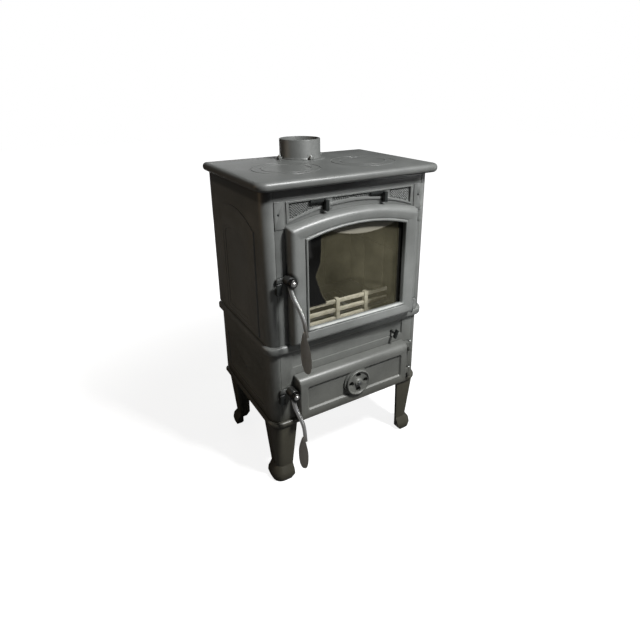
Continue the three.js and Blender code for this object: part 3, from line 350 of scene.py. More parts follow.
castLooks = {
    "frontIron": {"paint": "#6d6f6d", "low": "#666866", "high": "#747674", "rough": 0.41, "specular": 0.5,
                  "grainMm": 2.4, "patchMm": 70, "speckle": 0.3, "bump": 0.3, "bumpMm": 0.5,
                  # painted shade and painted shadow, by height
                  "shadeByHeight": [(0.19, "#968f7e"), (0.235, "#dcdad4"), (0.4, "#e8e8e6"), (0.44, "#ffffff"),
                              (0.755, "#ffffff"), (0.785, "#e4e4e4"), (0.81, "#e4e4e4"), (0.816, "#9c9c9c"),
                              (0.84, "#8a8a8a"), (0.846, "#dcdcdc")],    # metres above the floor
                  "sillHighlight": ((0, -214, 479), (158, 8, 7)), "sillHighlightGain": 2.3,    # middle and half sizes of the painted sill highlight
                  # painted shade round the latch bosses, at these depths
                  "bossShade": {"fire": -203, "ash": -200}},
    "blackIron": {"paint": "#1c1f1e", "low": "#171a19", "high": "#242726", "rough": 0.42, "specular": 0.5,
                  "grainMm": 1.8, "patchMm": 40, "speckle": 0.3, "bump": 0.25, "bumpMm": 0.3},
    "ashyIron": {"paint": "#c4bfab", "low": "#aea893", "high": "#d2cdb9", "rough": 0.8, "specular": 0.3,
                 "grainMm": 2.0, "patchMm": 22, "speckle": 0.5, "bump": 0.4, "bumpMm": 0.5},
}


def brightMetal(name, look):    # plated metal with a faint drawn grain
    material, tree, place = newMaterial(name)
    stretched = addNode(tree, "ShaderNodeMapping", {"Vector": place, "Scale": (1.0, 1.0, 0.12)})
    grain = addNode(tree, "ShaderNodeTexNoise", {"Vector": stretched, "Scale": 1000 / look["grainMm"], "Detail": 2.0})
    smear = addNode(tree, "ShaderNodeTexNoise", {"Vector": place, "Scale": 1000 / 25, "Detail": 3.0})
    tone = addNode(tree, "ShaderNodeValToRGB", {"Fac": smear}, stops=[(0.3, look["low"]), (0.7, look["high"])])
    if "grips" in look:    # rods bright, grips darker: a darker tint and a painted dark reflection, as a share of the tone at each height
        height = addNode(tree, "ShaderNodeSeparateXYZ", {"Vector": place}).outputs["Z"]
        gripDarkening = addNode(tree, "ShaderNodeValToRGB", {"Fac": height},
                       stops=[(z, (share, share ** 1.1, share ** 1.25, 1)) for z, share in look["grips"]])
        tone = addNode(tree, "ShaderNodeVectorMath", {0: tone, 1: gripDarkening}, operation="MULTIPLY")
    flat = addNode(tree, "ShaderNodeVectorMath", {0: place, 1: (1, 0, 1)}, operation="MULTIPLY")
    for x, z in look.get("hubShade", ()):    # painted shade: a dark ring round each hub, bright again on the bolt and down the rod
        away = addNode(tree, "ShaderNodeVectorMath", {0: flat, 1: (x * mm, 0, z * mm)}, operation="DISTANCE")
        share = addNode(tree, "ShaderNodeMath", {0: away.outputs["Value"], 1: 1 / (300 * mm)}, operation="MULTIPLY")
        shade = addNode(tree, "ShaderNodeValToRGB", {"Fac": share},
                        stops=[(0.02, "#ffffff"), (0.025, (0.05, 0.05, 0.05, 1)), (0.042, (0.05, 0.05, 0.05, 1)),
                               (0.056, "#ffffff")])
        tone = addNode(tree, "ShaderNodeVectorMath", {0: tone, 1: shade}, operation="MULTIPLY")
    polish = addNode(tree, "ShaderNodeMapRange", {"Value": smear, "To Min": look["rough"] - 0.05,
                                                  "To Max": look["rough"] + 0.1})
    bump = addNode(tree, "ShaderNodeBump", {"Height": grain, "Strength": 0.2, "Distance": look["bumpMm"] * mm})
    return surfaced(material, {"Base Color": tone, "Roughness": polish, "Normal": bump, "Metallic": 1.0})


metalLooks = {
    "handleSteel": {"low": "#f0efea", "high": "#ffffff", "rough": 0.3, "grainMm": 0.8, "bumpMm": 0.006,
                    # painted shade round each hub
                    "hubShade": pivots.values(),    # soft mirror with smears
                    # grips darker: a darker tint and a painted dark reflection
                    "grips": [(0.0, 0.5), (0.185, 0.55), (0.215, 1.0), (0.37, 1.0), (0.375, 0.5), (0.495, 0.55),
                              (0.54, 1.0)]},
    "plainSteel": {"low": "#8e9190", "high": "#a6a8a6", "rough": 0.36, "grainMm": 0.6, "bumpMm": 0.04},    # dull glint
}


def glassPane(name, look):    # clear ceramic glass with a smoky film, soot baked on at the left, a darker strip down the right edge, ash under the arch
    material, tree, place = newMaterial(name)
    spread = addNode(tree, "ShaderNodeSeparateXYZ", {"Vector": place}).outputs
    fray = addNode(tree, "ShaderNodeTexNoise", {"Vector": place, "Scale": 1000 / look["frayMm"], "Detail": 4.0})
    wisps = addNode(tree, "ShaderNodeTexNoise", {"Vector": place, "Scale": 1000 / look["wispMm"], "Detail": 3.0})
    sootLow, sootHigh = look["sootRise"]
    climb = addNode(tree, "ShaderNodeMapRange", {"Value": spread["Z"], "From Min": sootLow, "From Max": sootHigh})
    reach = addNode(tree, "ShaderNodeValToRGB", {"Fac": climb},
                    stops=[(share, (value, value, value, 1)) for share, value in look["sootEdge"]])
    edge = addNode(tree, "ShaderNodeMath", {0: reach, 1: 0.05, 2: look["sootFrom"]}, operation="MULTIPLY_ADD")
    edge = addNode(tree, "ShaderNodeMath", {0: fray, 1: look["frayWidth"], 2: edge}, operation="MULTIPLY_ADD")
    inside = addNode(tree, "ShaderNodeMath", {0: edge, 1: spread["X"]}, operation="SUBTRACT")
    inside = addNode(tree, "ShaderNodeMapRange", {"Value": inside, "From Min": -0.001, "From Max": 0.003})
    above = addNode(tree, "ShaderNodeMapRange", {"Value": spread["Z"], "From Min": sootLow,
                                                 "From Max": sootLow + 0.006})
    sootAndStrip = addNode(tree, "ShaderNodeMath", {0: inside, 1: above}, operation="MULTIPLY")
    # a darker strip down the right edge, joined to the soot
    side = addNode(tree, "ShaderNodeMapRange", {"Value": spread["X"], "From Min": look["darkStripFrom"],
                                                "From Max": look["darkStripFrom"] + 0.002})
    sootAndStrip = addNode(tree, "ShaderNodeMath", {0: sootAndStrip, 1: side}, operation="MAXIMUM")
    off = addNode(tree, "ShaderNodeMath", {0: spread["X"], 1: look["ashMiddle"]}, operation="SUBTRACT")
    sag = addNode(tree, "ShaderNodeMath", {0: off, 1: off}, operation="MULTIPLY")
    sag = addNode(tree, "ShaderNodeMath", {0: sag, 1: look["ashSag"], 2: look["ashBottom"]}, operation="MULTIPLY_ADD")
    over = addNode(tree, "ShaderNodeMath", {0: spread["Z"], 1: sag}, operation="SUBTRACT")
    ash = addNode(tree, "ShaderNodeMapRange", {"Value": over, "From Min": -0.001, "From Max": 0.002})
    film = addNode(tree, "ShaderNodeMapRange", {"Value": wisps, "From Min": 0.3, "From Max": 0.75,
                                                "To Min": look["film"] - 0.04, "To Max": look["film"] + 0.06})
    tone = addNode(tree, "ShaderNodeMix", {0: ash, 6: linear(look["haze"]), 7: linear(look["ash"])}, data_type="RGBA")
    tone = addNode(tree, "ShaderNodeMix", {0: sootAndStrip, 6: tone.outputs[2], 7: linear(look["sootAndStrip"])}, data_type="RGBA")
    marks = addNode(tree, "ShaderNodeMath", {0: sootAndStrip, 1: look["sootAndStripCover"], 2: film}, operation="MULTIPLY_ADD")
    cover = addNode(tree, "ShaderNodeMath", {0: ash, 1: look["ashCover"], 2: marks}, operation="MULTIPLY_ADD",
                    use_clamp=True)
    return surfaced(material, {"Base Color": tone.outputs[2], "Alpha": cover, "Roughness": 0.06, "IOR": 1.52})


glassLook = {    # places on the pane in metres, across and above the floor
    "haze": "#66624f", "film": 0.16, "wispMm": 60, "sootAndStrip": "#0e0e0d", "sootAndStripCover": 0.8, "frayMm": 16,
    "frayWidth": 0.004, "sootRise": (0.531, 0.721), "sootFrom": -0.132, "darkStripFrom": 0.136,
    "sootEdge": [(0.05, 0.76), (0.15, 0.54), (0.3, 0.34), (0.44, 0.18), (0.49, 0.22), (0.605, 0.44), (0.85, 0.52)],
    "ash": "#7d7a6f", "ashCover": 0.66, "ashMiddle": 0.03, "ashSag": 1.7, "ashBottom": 0.7065}


def firebrick(name, look):    # pressed and fired clay, chalky, with sand grains and smoke stains
    material, tree, place = newMaterial(name)
    stain = addNode(tree, "ShaderNodeTexNoise", {"Vector": place, "Scale": 1000 / 80, "Detail": 4.0})
    sand = addNode(tree, "ShaderNodeTexVoronoi", {"Vector": place, "Scale": 1000 / look["sandMm"]})
    tone = addNode(tree, "ShaderNodeValToRGB", {"Fac": stain}, stops=[(0.32, look["smoked"]), (0.62, look["clay"])])
    bump = addNode(tree, "ShaderNodeBump", {"Height": sand, "Strength": 0.5, "Distance": 0.8 * mm})
    return surfaced(material, {"Base Color": tone, "Normal": bump, "Roughness": 0.95, "Specular IOR Level": 0.2})


def wovenRope(name, look):    # braided glass-fibre rope: dull strands wound on the slant
    material, tree, place = newMaterial(name)
    turned = addNode(tree, "ShaderNodeMapping", {"Vector": place, "Rotation": (0.0, 0.7, 0.0)})
    strands = addNode(tree, "ShaderNodeTexWave", {"Vector": turned, "Scale": 1000 / look["strandMm"] / 3.14,
                                                  "Distortion": 1.2, "Detail": 2.0}).outputs["Fac"]
    tone = addNode(tree, "ShaderNodeValToRGB", {"Fac": strands}, stops=[(0.1, look["shade"]), (0.8, look["fibre"])])
    bump = addNode(tree, "ShaderNodeBump", {"Height": strands, "Strength": 0.6, "Distance": 0.6 * mm})
    return surfaced(material, {"Base Color": tone, "Normal": bump, "Roughness": 0.95})


finishes = {    # one for each material slot of the part
    # the stove paint carries painted shade, a painted shadow and a painted highlight
    "stove_paint": castPaint("satin stove paint on cast iron", castLooks["frontIron"]),
    "control_black": castPaint("black paint on cast levers", castLooks["blackIron"]),
    "ash_grey": castPaint("ash-dusted cast iron", castLooks["ashyIron"]),
    # the polished steel carries painted shade round the hubs and a painted dark reflection on the grips
    "polished_steel": brightMetal("polished nickel-plated steel", metalLooks["handleSteel"]),
    "plain_steel": brightMetal("plain zinc-plated steel", metalLooks["plainSteel"]),
    "stove_glass": glassPane("smoky ceramic glass", glassLook),
    "fire_brick": firebrick("smoked firebrick", {"clay": "#8b866f", "smoked": "#6c6855", "sandMm": 3}),
    "rope_seal": wovenRope("glass-fibre fire rope", {"fibre": "#6f6c64", "shade": "#3b3934", "strandMm": 2.5}),
}
print("stove: finishes ready")


# top plate and flue collar

topPlate = {"half": 271, "front": -206, "back": 182, "corner": 28, "backCorner": 14, "bottom": 842, "top": 865,
            "round": 10.5, "padRadius": 72, "padHeight": 2, "flueRadius": 55.3, "flueY": 101,
            "rings": (90, 65), "ringX": 121, "ringY": -46, "ringWidth": 4.0, "ringDepth": 1.3,
            "pocket": (-233, 233, -153.5, 142, 830, 855)}


def bandOutline(size, inset):
    x, front, back = size["half"] - inset, size["front"] + inset, size["back"] - inset
    square = max(size["backCorner"] - inset, 2)
    radii = {0: size["corner"] - inset, 1: size["corner"] - inset, 2: square, 3: square}
    return filleted([(-x, front), (x, front), (x, back), (-x, back)], radii, 10)


def halfRound(size, steps=12):    # stacked outlines of a slab with a half-round edge
    bottom, top, radius = size["bottom"], size["top"], size["round"]
    rings = []
    for step in range(steps + 1):
        angle = -math.pi / 2 + math.pi * step / steps
        middle = bottom + radius if angle < 0 else top - radius
        rings.append(lying(bandOutline(size, radius * (1 - math.cos(angle))), middle + radius * math.sin(angle)))
        if step == steps // 2 and top - bottom > 2 * radius:
            rings.append(lying(bandOutline(size, 0), top - radius))
    return rings


def buildTopPlate(size):
    slab = loft("top plate casting", halfRound(size))
    radius, height, middle = size["padRadius"], size["padHeight"], (0, size["flueY"], size["top"])
    pad = lathed("pad", [(20, -3), (radius + 1.5, -3), (radius + 1.5, 0), (radius, height * 0.8),
                         (radius - 1.2, height), (20, height)], "z", middle, 96)
    carved(slab, pad, join=True)
    flue = lathed("flue", [(size["flueRadius"], -40), (size["flueRadius"], 20)], "z", middle, 96, closed=False)
    half, depth = size["ringWidth"] / 2, size["ringDepth"]
    section = [(-half, 1), (-half * 0.8, -0.4), (-half * 0.35, -depth), (half * 0.35, -depth), (half * 0.8, -0.4),
               (half, 1)]
    grooves = [lathed("groove", [(radius + across, drop) for across, drop in section], "z",
                      (hand * size["ringX"], size["ringY"], size["top"]), 128)
               for hand in (-1, 1) for radius in size["rings"]]
    return carved(slab, flue, block("pocket", *size["pocket"]), *grooves)


seated(tidied(buildTopPlate(topPlate), 0.3), "stove_body", "stove_paint", "top_plate", angle=32)

flueCollar = {"radius": 60, "bore": 51, "mouth": 55.2, "base": 867.3, "top": 922, "y": 101, "lug": 14,
              "lugCircle": 66, "lugHeight": 6}


def buildCollar(size):
    radius, bore, mouth, base, half = size["radius"], size["bore"], size["mouth"], size["base"], size["lug"] / 2
    height = size["top"] - base
    section = [(bore, -9), (55, -9), (55, 0), (radius + 2.5, 0), (radius + 2.3, 1.5), (radius + 0.8, 3), (radius, 5),
               (radius, height - 1.6), (radius - 0.5, height - 0.5), (radius - 1.6, height), (mouth + 1.2, height),
               (mouth + 0.3, height - 0.4), (mouth, height - 1.4), (mouth - 0.8, 16), (bore, 12)]
    tube = lathed("flue collar casting", section, "z", (0, size["y"], base), 96)
    path = rectanglePath(-half, half, -size["lugCircle"] - half, -radius + 3, 3, 4)
    lugs = [loft("lug", [lying(path, z) for z in (base, base + size["lugHeight"])]) for turn in range(4)]
    for turn, lug in enumerate(lugs):
        lug.data.transform(Matrix.Translation(at(0, size["y"], 0)) @ Matrix.Rotation(math.pi / 2 * turn, 4, "Z")
                           @ Matrix.Translation(-at(0, 0, 0)))
    return eased(tidied(carved(tube, *lugs, join=True)), 0.7)


seated(buildCollar(flueCollar), "stove_body", "stove_paint", "flue_collar")
print("stove: top plate and flue collar made")


# body castings: sides, backs, fronts, legs and the two moulded bands

castEdges = {"left_side": 0.9, "right_side": 0.9, "lower_left_side": 1.0, "lower_right_side": 1.0, "back_plate": 0.8,
             "lower_back": 0.8, "leg_front_left": 1.8, "leg_front_right": 1.8, "leg_back_right": 1.8,
             "leg_back_left": 1.8, "baffle_plate": 1.0, "fire_grate": 0.8}    # width of each casting's softened edges
frontEdges = {"front_plate": 0.8, "lower_front": 0.8}


def easedCopy(node, title, body, slotName, width):    # a CAD piece with softened edges
    return seated(eased(copied(node, title), width), body, slotName, node)


for node, width in castEdges.items():
    easedCopy(node, node.replace("_", " ") + " casting", "riddling" if node == "fire_grate" else "stove_body",
              "stove_paint", width)

bands = {
    "hearth_plate": {"half": 259, "front": -189, "back": 182, "corner": 36, "backCorner": 12, "bottom": 414,
                     "top": 438, "round": 8, "hollows": [(-236, 236, -165, 165, 422, 470),
                                                         (-121, 121, -95, 73, 418, 470),
                                                         (-113, 113, -87, 65, 380, 470)]},
    "base_plate": {"half": 254, "front": -184, "back": 182, "corner": 36, "backCorner": 12, "bottom": 186,
                   "top": 203, "round": 8, "hollows": [(-215, 215, -145, 145, 195, 240)]},
}
for node, size in bands.items():
    slab = loft(node.replace("_", " ") + " casting", halfRound(size))
    carved(slab, *[block("hollow", *sides) for sides in size["hollows"]])
    seated(tidied(slab, 0.3), "stove_body", "stove_paint", node, angle=32)
for node, width in frontEdges.items():
    easedCopy(node, node.replace("_", " ") + " casting", "stove_body", "stove_paint", width)
print("stove: body castings made")


# knurled field above the fire door

knurl = {"half": 181, "top": 808, "shoulder": 765.5, "rise": 33, "pitch": 6.4, "height": 2.0, "floorY": -177.6,
         "pads": ((-84, -64), (94, 114)), "margin": 3.2}


def newTree(name, inputs):    # a Geometry Nodes tree with named inputs between its points and its material
    tree = bpy.data.node_groups.new(name, "GeometryNodeTree")
    for title, kind in (("Geometry", "Geometry"), *inputs, ("Material", "Material")):
        tree.interface.new_socket(title, in_out="INPUT", socket_type="NodeSocket" + kind)
    tree.interface.new_socket("Geometry", in_out="OUTPUT", socket_type="NodeSocketGeometry")
    return tree, addNode(tree, "NodeGroupInput").outputs


def spreadOut(tree, given, shape, turn):    # one shape on each given point, made real and painted
    spread = addNode(tree, "GeometryNodeInstanceOnPoints", {"Points": given["Geometry"], "Instance": shape,
                                                            "Rotation": turn})
    real = addNode(tree, "GeometryNodeRealizeInstances", {"Geometry": spread})
    painted = addNode(tree, "GeometryNodeSetMaterial", {"Geometry": real, "Material": given["Material"]})
    addNode(tree, "NodeGroupOutput", {"Geometry": painted})
    return tree


def grown(title, places, tree, slotName, values):    # runs a tree with its inputs set, and keeps the result
    piece = linked(title, meshFrom(title, places, []))
    change = piece.modifiers.new("nodes", "NODES")
    change.node_group = tree
    values = {**values, "Material": finishes[slotName]}
    for item in tree.interface.items_tree:
        if item.item_type == "SOCKET" and item.in_out == "INPUT" and item.name in values:
            change[item.identifier] = values[item.name]
    return applied(piece)


def knurlTree():    # small pyramids standing on given points
    tree, given = newTree("knurled field", [("Half Diagonal", "Float"), ("Height", "Float")])
    stud = addNode(tree, "GeometryNodeMeshCone", {"Vertices": 4, "Radius Top": 0.0006,
                                                  "Radius Bottom": given["Half Diagonal"],
                                                  "Depth": given["Height"]})
    return spreadOut(tree, given, stud, (math.pi / 2, 0.0, 0.0))


def knurlPoints(size):    # staggered rows between the top edge and the arch, clear of the levers' pads
    half, pitch, margin = size["half"], size["pitch"], size["margin"]
    radius = (half ** 2 + size["rise"] ** 2) / (2 * size["rise"])
    points = []
    for row in range(int((size["top"] - size["shoulder"]) / (pitch / 2)) + 6):
        z = size["top"] - margin - row * pitch / 2
        for column in range(int(2 * half / pitch) + 1):
            x = -half + margin + column * pitch + (pitch / 2 if row % 2 else 0)
            if abs(x) >= half - margin + 0.1 or any(x0 - margin < x < x1 + margin for x0, x1 in size["pads"]):
                continue
            if z > size["shoulder"] + size["rise"] - radius + math.sqrt(radius * radius - x * x) + margin:
                points.append(at(x, size["floorY"] - size["height"] / 2 + 0.1, z))
    return points


studs = grown("knurled field above the fire door", knurlPoints(knurl), knurlTree(), "stove_paint",
              {"Half Diagonal": knurl["pitch"] / 2 * mm, "Height": knurl["height"] * mm})
seated(studs, "stove_body", "stove_paint", angle=20)
print("stove: knurled field made with", len(studs.data.polygons), "faces")


# what both doors have: depths are from the door's face

hinge = {"x": 209, "pin": -11, "ear": -3, "barrel": 8, "bore": 3.9, "height": 15}
latch = {"boss": 12.5, "shaft": 5.3, "room": 17, "roomFront": -8.6}


def hingeEar(size, low):    # upper half of a hinge with its arm back to the door
    pinY, ends = size["face"] + hinge["pin"], (low + 0.15, low + hinge["height"])
    path = rectanglePath(size["half"] - 14, hinge["x"], pinY - 6, size["face"] + hinge["ear"], 1.5, 3)
    arm = loft("ear", [lying(path, z) for z in ends])
    barrel = loft("barrel", [lying(circlePath(hinge["x"], pinY, hinge["barrel"], 40), z) for z in ends])
    return carved(arm, barrel, join=True)


def tongueRoom(size):    # room behind the boss for the latch tongue
    (x, z), face = size["pivot"], size["face"]
    hub = dowel("room", (x, z), [(latch["room"], latch["roomFront"]), (latch["room"], 3)], face, 40)
    way = block("way", x - 31, x + 6.5, face + latch["roomFront"], face + 3, z - latch["room"], z + 40)
    return carved(hub, way, join=True)


def doorFittings(size):    # boss and hinge ears to add, then the latch's room and shaft and the hinges' bores to cut
    face, front, radius = size["face"], size["front"], latch["boss"]
    boss = dowel("boss", size["pivot"], [(radius, latch["roomFront"]), (radius, front + 2.5),
                                         (radius - 0.4, front + 1), (radius - 1.5, front)], face)
    ears = [hingeEar(size, low) for low in size["hinges"]]
    bores = [loft("bore", [lying(circlePath(hinge["x"], face + hinge["pin"], hinge["bore"], 24), low + up)
                           for up in (-16, 16)]) for low in size["hinges"]]
    shaft = dowel("shaft", size["pivot"], [(latch["shaft"], size["clear"]), (latch["shaft"], 3)], face, 32)
    return boss, ears, [tongueRoom(size), shaft], bores


# fire door

fireDoor = {"half": 197, "bottom": 440, "shoulder": 752, "rise": 25, "face": -181, "back": -2, "side": -12,
            "front": -32, "field": -29.5, "web": -20, "shelf": -13, "swell": 14, "corner": 5, "clear": -40,
            "glassHalf": 150, "glassBottom": 483, "glassShoulder": 717, "glassRise": 22,
            "glassCorner": 2.5, "sill": 5.2,
            "pivot": pivots["fire"], "hinges": (458, 726)}


def doorRing(shrink, depth):
    size = fireDoor
    corner = max(size["corner"] - shrink * 0.12, 1.5)
    path = archPath(size["half"] - shrink, size["bottom"] + shrink, size["shoulder"] - shrink, size["rise"], corner)
    return facing(path, size["face"] + depth)


def glassRing(grow, depth):
    size = fireDoor
    path = archPath(size["glassHalf"] + grow, size["glassBottom"] - grow, size["glassShoulder"] + grow,
                    size["glassRise"], size["glassCorner"])
    return facing(path, size["face"] + depth)


def buildFireDoor(size):
    rings = [doorRing(0, size["back"]), doorRing(0, size["side"])]
    for step in range(1, 11):    # the outer side swells into the crest
        angle = math.pi / 2 * step / 10
        rings.append(doorRing(size["swell"] * (1 - math.cos(angle)),
                              size["side"] + (size["front"] - size["side"]) * math.sin(angle)))
    for inset, depth in ((16, 0.05), (18.5, 0.2), (21, 0.5), (24, 0.95), (26.8, 1.5)):    # and falls to the field
        rings.append(doorRing(inset, size["front"] + depth))
    for grow, depth in ((9.4, -0.4), (8.3, 0), (8, 0.9), (7, 1), (6.6, 0), (6.1, -1.8), (4.9, -3.1), (3.3, -3.6),
                        (1.7, -3.1), (0.5, -1.8), (0, 0)):    # groove and raised bead round the glass
        rings.append(glassRing(grow, size["field"] + depth))
    rings += [glassRing(0, size["web"]), glassRing(11, size["web"]), glassRing(11, size["shelf"]),
              glassRing(21, size["shelf"]), glassRing(21, size["back"]),
              doorRing(24, size["back"]), doorRing(24, -8), doorRing(13, -8), doorRing(13, size["back"])]
    ends = [(x, size["face"] - 28.6, size["glassBottom"] - 4.4) for x in (3 - size["glassHalf"], size["glassHalf"] - 3)]
    boss, ears, latchCuts, bores = doorFittings(size)
    door = carved(loft("fire door casting", rings, wrap=True), boss, bent("sill", ends, [size["sill"]] * 2, 32), *ears,
                  join=True)
    return tidied(carved(door, *latchCuts, *bores), 0.2)


door = seated(buildFireDoor(fireDoor), "fire_door", "stove_paint", "fire_door", angle=35)
print("stove: fire door made with", len(door.data.polygons), "faces")


# ash door and its air rosette

ashDoor = {"half": 184, "bottom": 209, "top": 340, "face": -176, "back": -2, "front": -35, "sideRound": 6,
           "topRound": 19, "panelHalf": 156, "panelBottom": 241, "panelTop": 308, "panelCorner": 3.0,
           "pocket": -21, "corner": 4,
           "clear": -44, "rosette": (0, 274.5), "rosetteRadius": 38, "vent": 8.5, "ventCircle": 23,
           "pivot": pivots["ash"], "hinges": (226, 316)}


def ashRing(shrink, depth, topShrink=None):
    size = ashDoor
    top = size["top"] - (shrink if topShrink is None else topShrink)
    path = rectanglePath(-size["half"] + shrink, size["half"] - shrink, size["bottom"] + shrink, top,
                         max(size["corner"] - shrink * 0.2, 1.2), 5)
    return facing(path, size["face"] + depth)


def panelRing(grow, depth):
    size = ashDoor
    path = rectanglePath(-size["panelHalf"] - grow, size["panelHalf"] + grow, size["panelBottom"] - grow,
                         size["panelTop"] + grow, max(size["panelCorner"] + grow, 0.6), 5)
    return facing(path, size["face"] + depth)


def ventCutters(size, front, back):
    x, z = size["rosette"]
    turns = [math.pi / 2 * turn for turn in range(4)]
    places = [(x + size["ventCircle"] * math.cos(turn), z + size["ventCircle"] * math.sin(turn)) for turn in turns]
    return [dowel("vent", place, [(size["vent"], front), (size["vent"], back)], 0, 40) for place in places]


def buildAshDoor(size):
    face = size["face"]
    rings = [ashRing(20, size["pocket"]), ashRing(20, size["back"]), ashRing(15, size["back"]), ashRing(15, -8),
             ashRing(4, -8), ashRing(4, size["back"]), ashRing(0, size["back"])]
    for step in range(11):    # the top edge rolls over to the front in a broad round
        angle = math.pi / 2 * step / 10
        rings.append(ashRing(size["sideRound"] * (1 - math.cos(angle)),
                             size["front"] + size["topRound"] * (1 - math.sin(angle)),
                             size["topRound"] * (1 - math.cos(angle))))
    for grow, depth in ((4.2, 0), (3.2, 0.3), (2.4, 1.1), (0.6, 4.6), (-0.4, 5.6), (-1.6, 6)):    # sunk panel
        rings.append(panelRing(grow, size["front"] + depth))
    pad = dowel("pad", size["rosette"], [(42, -24), (42, -34.6), (42, -35)], face, 72)
    axle = dowel("axle", size["rosette"], [(3.3, size["clear"]), (3.3, 3)], face, 24)
    boss, ears, latchCuts, bores = doorFittings(size)
    door = carved(loft("ash door casting", rings), pad, boss, *ears, join=True)
    vents = ventCutters(size, face + size["clear"], face + 3)
    return tidied(carved(door, *latchCuts, axle, *bores, *vents), 0.2)


seated(buildAshDoor(ashDoor), "ash_door", "stove_paint", "ash_door", angle=35)


def buildRosette(size):    # a turning disc: rolled rim, sunk web with four openings, domed hub
    back = size["face"] + size["front"] - 0.3
    rim = size["rosetteRadius"]
    section = [(3.4, 0), (rim - 1.4, 0), (rim - 0.4, -0.6), (rim, -1.8), (rim, -6.4), (rim - 0.5, -8),
               (rim - 1.8, -8.9), (rim - 3.4, -8.9), (rim - 4.6, -8), (rim - 5.2, -6.2), (rim - 5.8, -5.2),
               (rim - 6.6, -5), (14.4, -5), (13, -5.4), (12, -6.8), (11, -8.6), (9.4, -9.7), (7.6, -10), (3.4, -10)]
    disc = lathed("air rosette casting", section, "y", (size["rosette"][0], back, size["rosette"][1]), 96)
    return eased(tidied(carved(disc, *ventCutters(size, back - 20, back + 4)), 0.2), 0.6, 2, 40)


seated(buildRosette(ashDoor), "air_rosette", "stove_paint", "air_spinner")
print("stove: ash door and rosette made")


# handles, bolts, tongues and keepers

handles = {
    "fire": {"hub": -213.3, "gripTop": -118, "gripLength": 118, "lean": 4, "boss": 21.4},
    "ash": {"hub": -211.3, "gripTop": -105, "gripLength": 100, "lean": 0, "boss": 26.4},
}
grip = {"width": 30, "thick": 7.4, "turn": 58, "forward": 28, "hubLength": 13, "rod": 5.5,
        "course": [(-8, 0.16, 0.03), (-6, 0.34, 0.27), (1.5, 0.62, 0.53), (5.5, 0.88, 0.76), (5.5, 1.08, 1.12)]}


def buildHandle(title, pivot, size):    # hub, bent rod and a leaf-shaped grip turned on the slant
    x, z = pivot
    hub, top = size["hub"], size["gripTop"]
    front = hub - grip["hubLength"]
    reach = front - grip["forward"]
    ring = dowel(title, pivot, [(9.8, hub), (10.7, hub - 0.4), (11, hub - 1.3), (11, front + 2.4), (10.5, front + 1),
                                (9.2, front)], 0, 56)
    route = smoothCurve([(x + side, hub + (reach - hub) * forward, z + top * drop)
                         for side, forward, drop in grip["course"]], 9)
    radii = [grip["rod"] * (1.12 - 0.24 * i / (len(route) - 1)) for i in range(len(route))]
    bar = bent("bar", route, radii, 24)
    sections = []
    turn = math.radians(grip["turn"])
    for step in range(27):
        along = step / 26
        if along < 0.55:    # slender at the rod, broadest past the middle, blunt at the end
            swell = math.sin(math.pi / 2 * along / 0.55) ** 1.1
        else:
            swell = math.sqrt(max(1 - ((along - 0.55) / 0.46) ** 2.4, 0))
        half = 3.2 + (grip["width"] / 2 - 3.2) * swell
        thick = 1.4 + (grip["thick"] / 2 - 1.4) * math.sin(math.pi * (0.08 + 0.9 * along)) ** 0.5
        height = z + top - size["gripLength"] * along
        section = []
        for across, over in circlePath(0, 0, 1, 28):    # a circle pulled in to a soft diamond
            u = half * math.copysign(abs(across) ** 1.3, across)
            v = thick * math.copysign(abs(over) ** 1.3, over)
            section.append(at(x + u * math.cos(turn) + v * math.sin(turn),
                              reach - u * math.sin(turn) + v * math.cos(turn), height))
        sections.append(section)
    whole = carved(ring, bar, loft("blade", sections), join=True)
    carved(whole, dowel("bore", pivot, [(5.3, hub + 2), (5.3, front - 3)], 0, 40))
    whole.data.transform(Matrix.Translation(at(x, 0, z)) @ Matrix.Rotation(math.radians(-size["lean"]), 4, "Y")
                         @ Matrix.Translation(-at(x, 0, z)))
    return whole


def buildPivotBolt(title, pivot, size):    # domed head in front of the hub, plain shank behind
    front, end = size["hub"] - grip["hubLength"], size["hub"] + size["boss"] + 6
    return dowel(title, pivot, [(0.02, front - 3.6), (2, front - 3.4), (3.6, front - 2.8), (4.7, front - 2),
                                (5.2, front - 1.2), (5.4, front - 0.6), (5.2, front - 0.3), (5, front - 0.3),
                                (5, end), (0.02, end)])


for key, size in handles.items():
    whole = buildHandle(key + " door handle", pivots[key], size)
    seated(whole, key + "_handle", "polished_steel", key + "_handle", angle=40)
    bolt = buildPivotBolt(key + " door pivot bolt", pivots[key], size)
    seated(bolt, key + "_handle", "polished_steel", key + "_pivot_bolt", angle=40)
    easedCopy(key + "_latch_tongue", key + " latch tongue", key + "_handle", "plain_steel", 0.6)
    easedCopy(key + "_keeper", key + " latch keeper", "stove_body", "control_black", 1.6)
print("stove: handles and latches made")


# air levers and riddling rod

lever = {"left": -128, "right": 50, "z": 802, "thick": 9, "armThick": 6, "arm": 46, "foot": 9, "drop": 19,
         "forward": 13, "face": -181}


def buildLever(title, x):    # cranked casting: flat arm, foot turned down and forward for the finger
    z, half, face, end = lever["z"], lever["thick"] / 2, lever["face"], x + lever["arm"]
    armPath = rectanglePath(x, end, z + half - lever["armThick"], z + half, 2.4, 4)
    footPath = rectanglePath(end - lever["foot"], end, z - half - lever["drop"], z + half, 3, 4)
    arm = loft(title, [facing(armPath, face + y) for y in (-1, -6.5)])
    foot = loft("foot", [facing(footPath, face + y) for y in (-1, -4 - lever["forward"])])
    stem = block("stem", x, x + 7, face - 3, face + 11.3, z - 3, z + 3)
    return eased(tidied(carved(arm, foot, stem, join=True), 0.3), 1.4, 3)


for hand in ("left", "right"):
    seated(buildLever(hand + " air lever", lever[hand]), "air_slide_" + hand, "control_black", "air_lever_" + hand)
    easedCopy("air_shutter_" + hand, hand + " air shutter", "air_slide_" + hand, "plain_steel", 0.4)

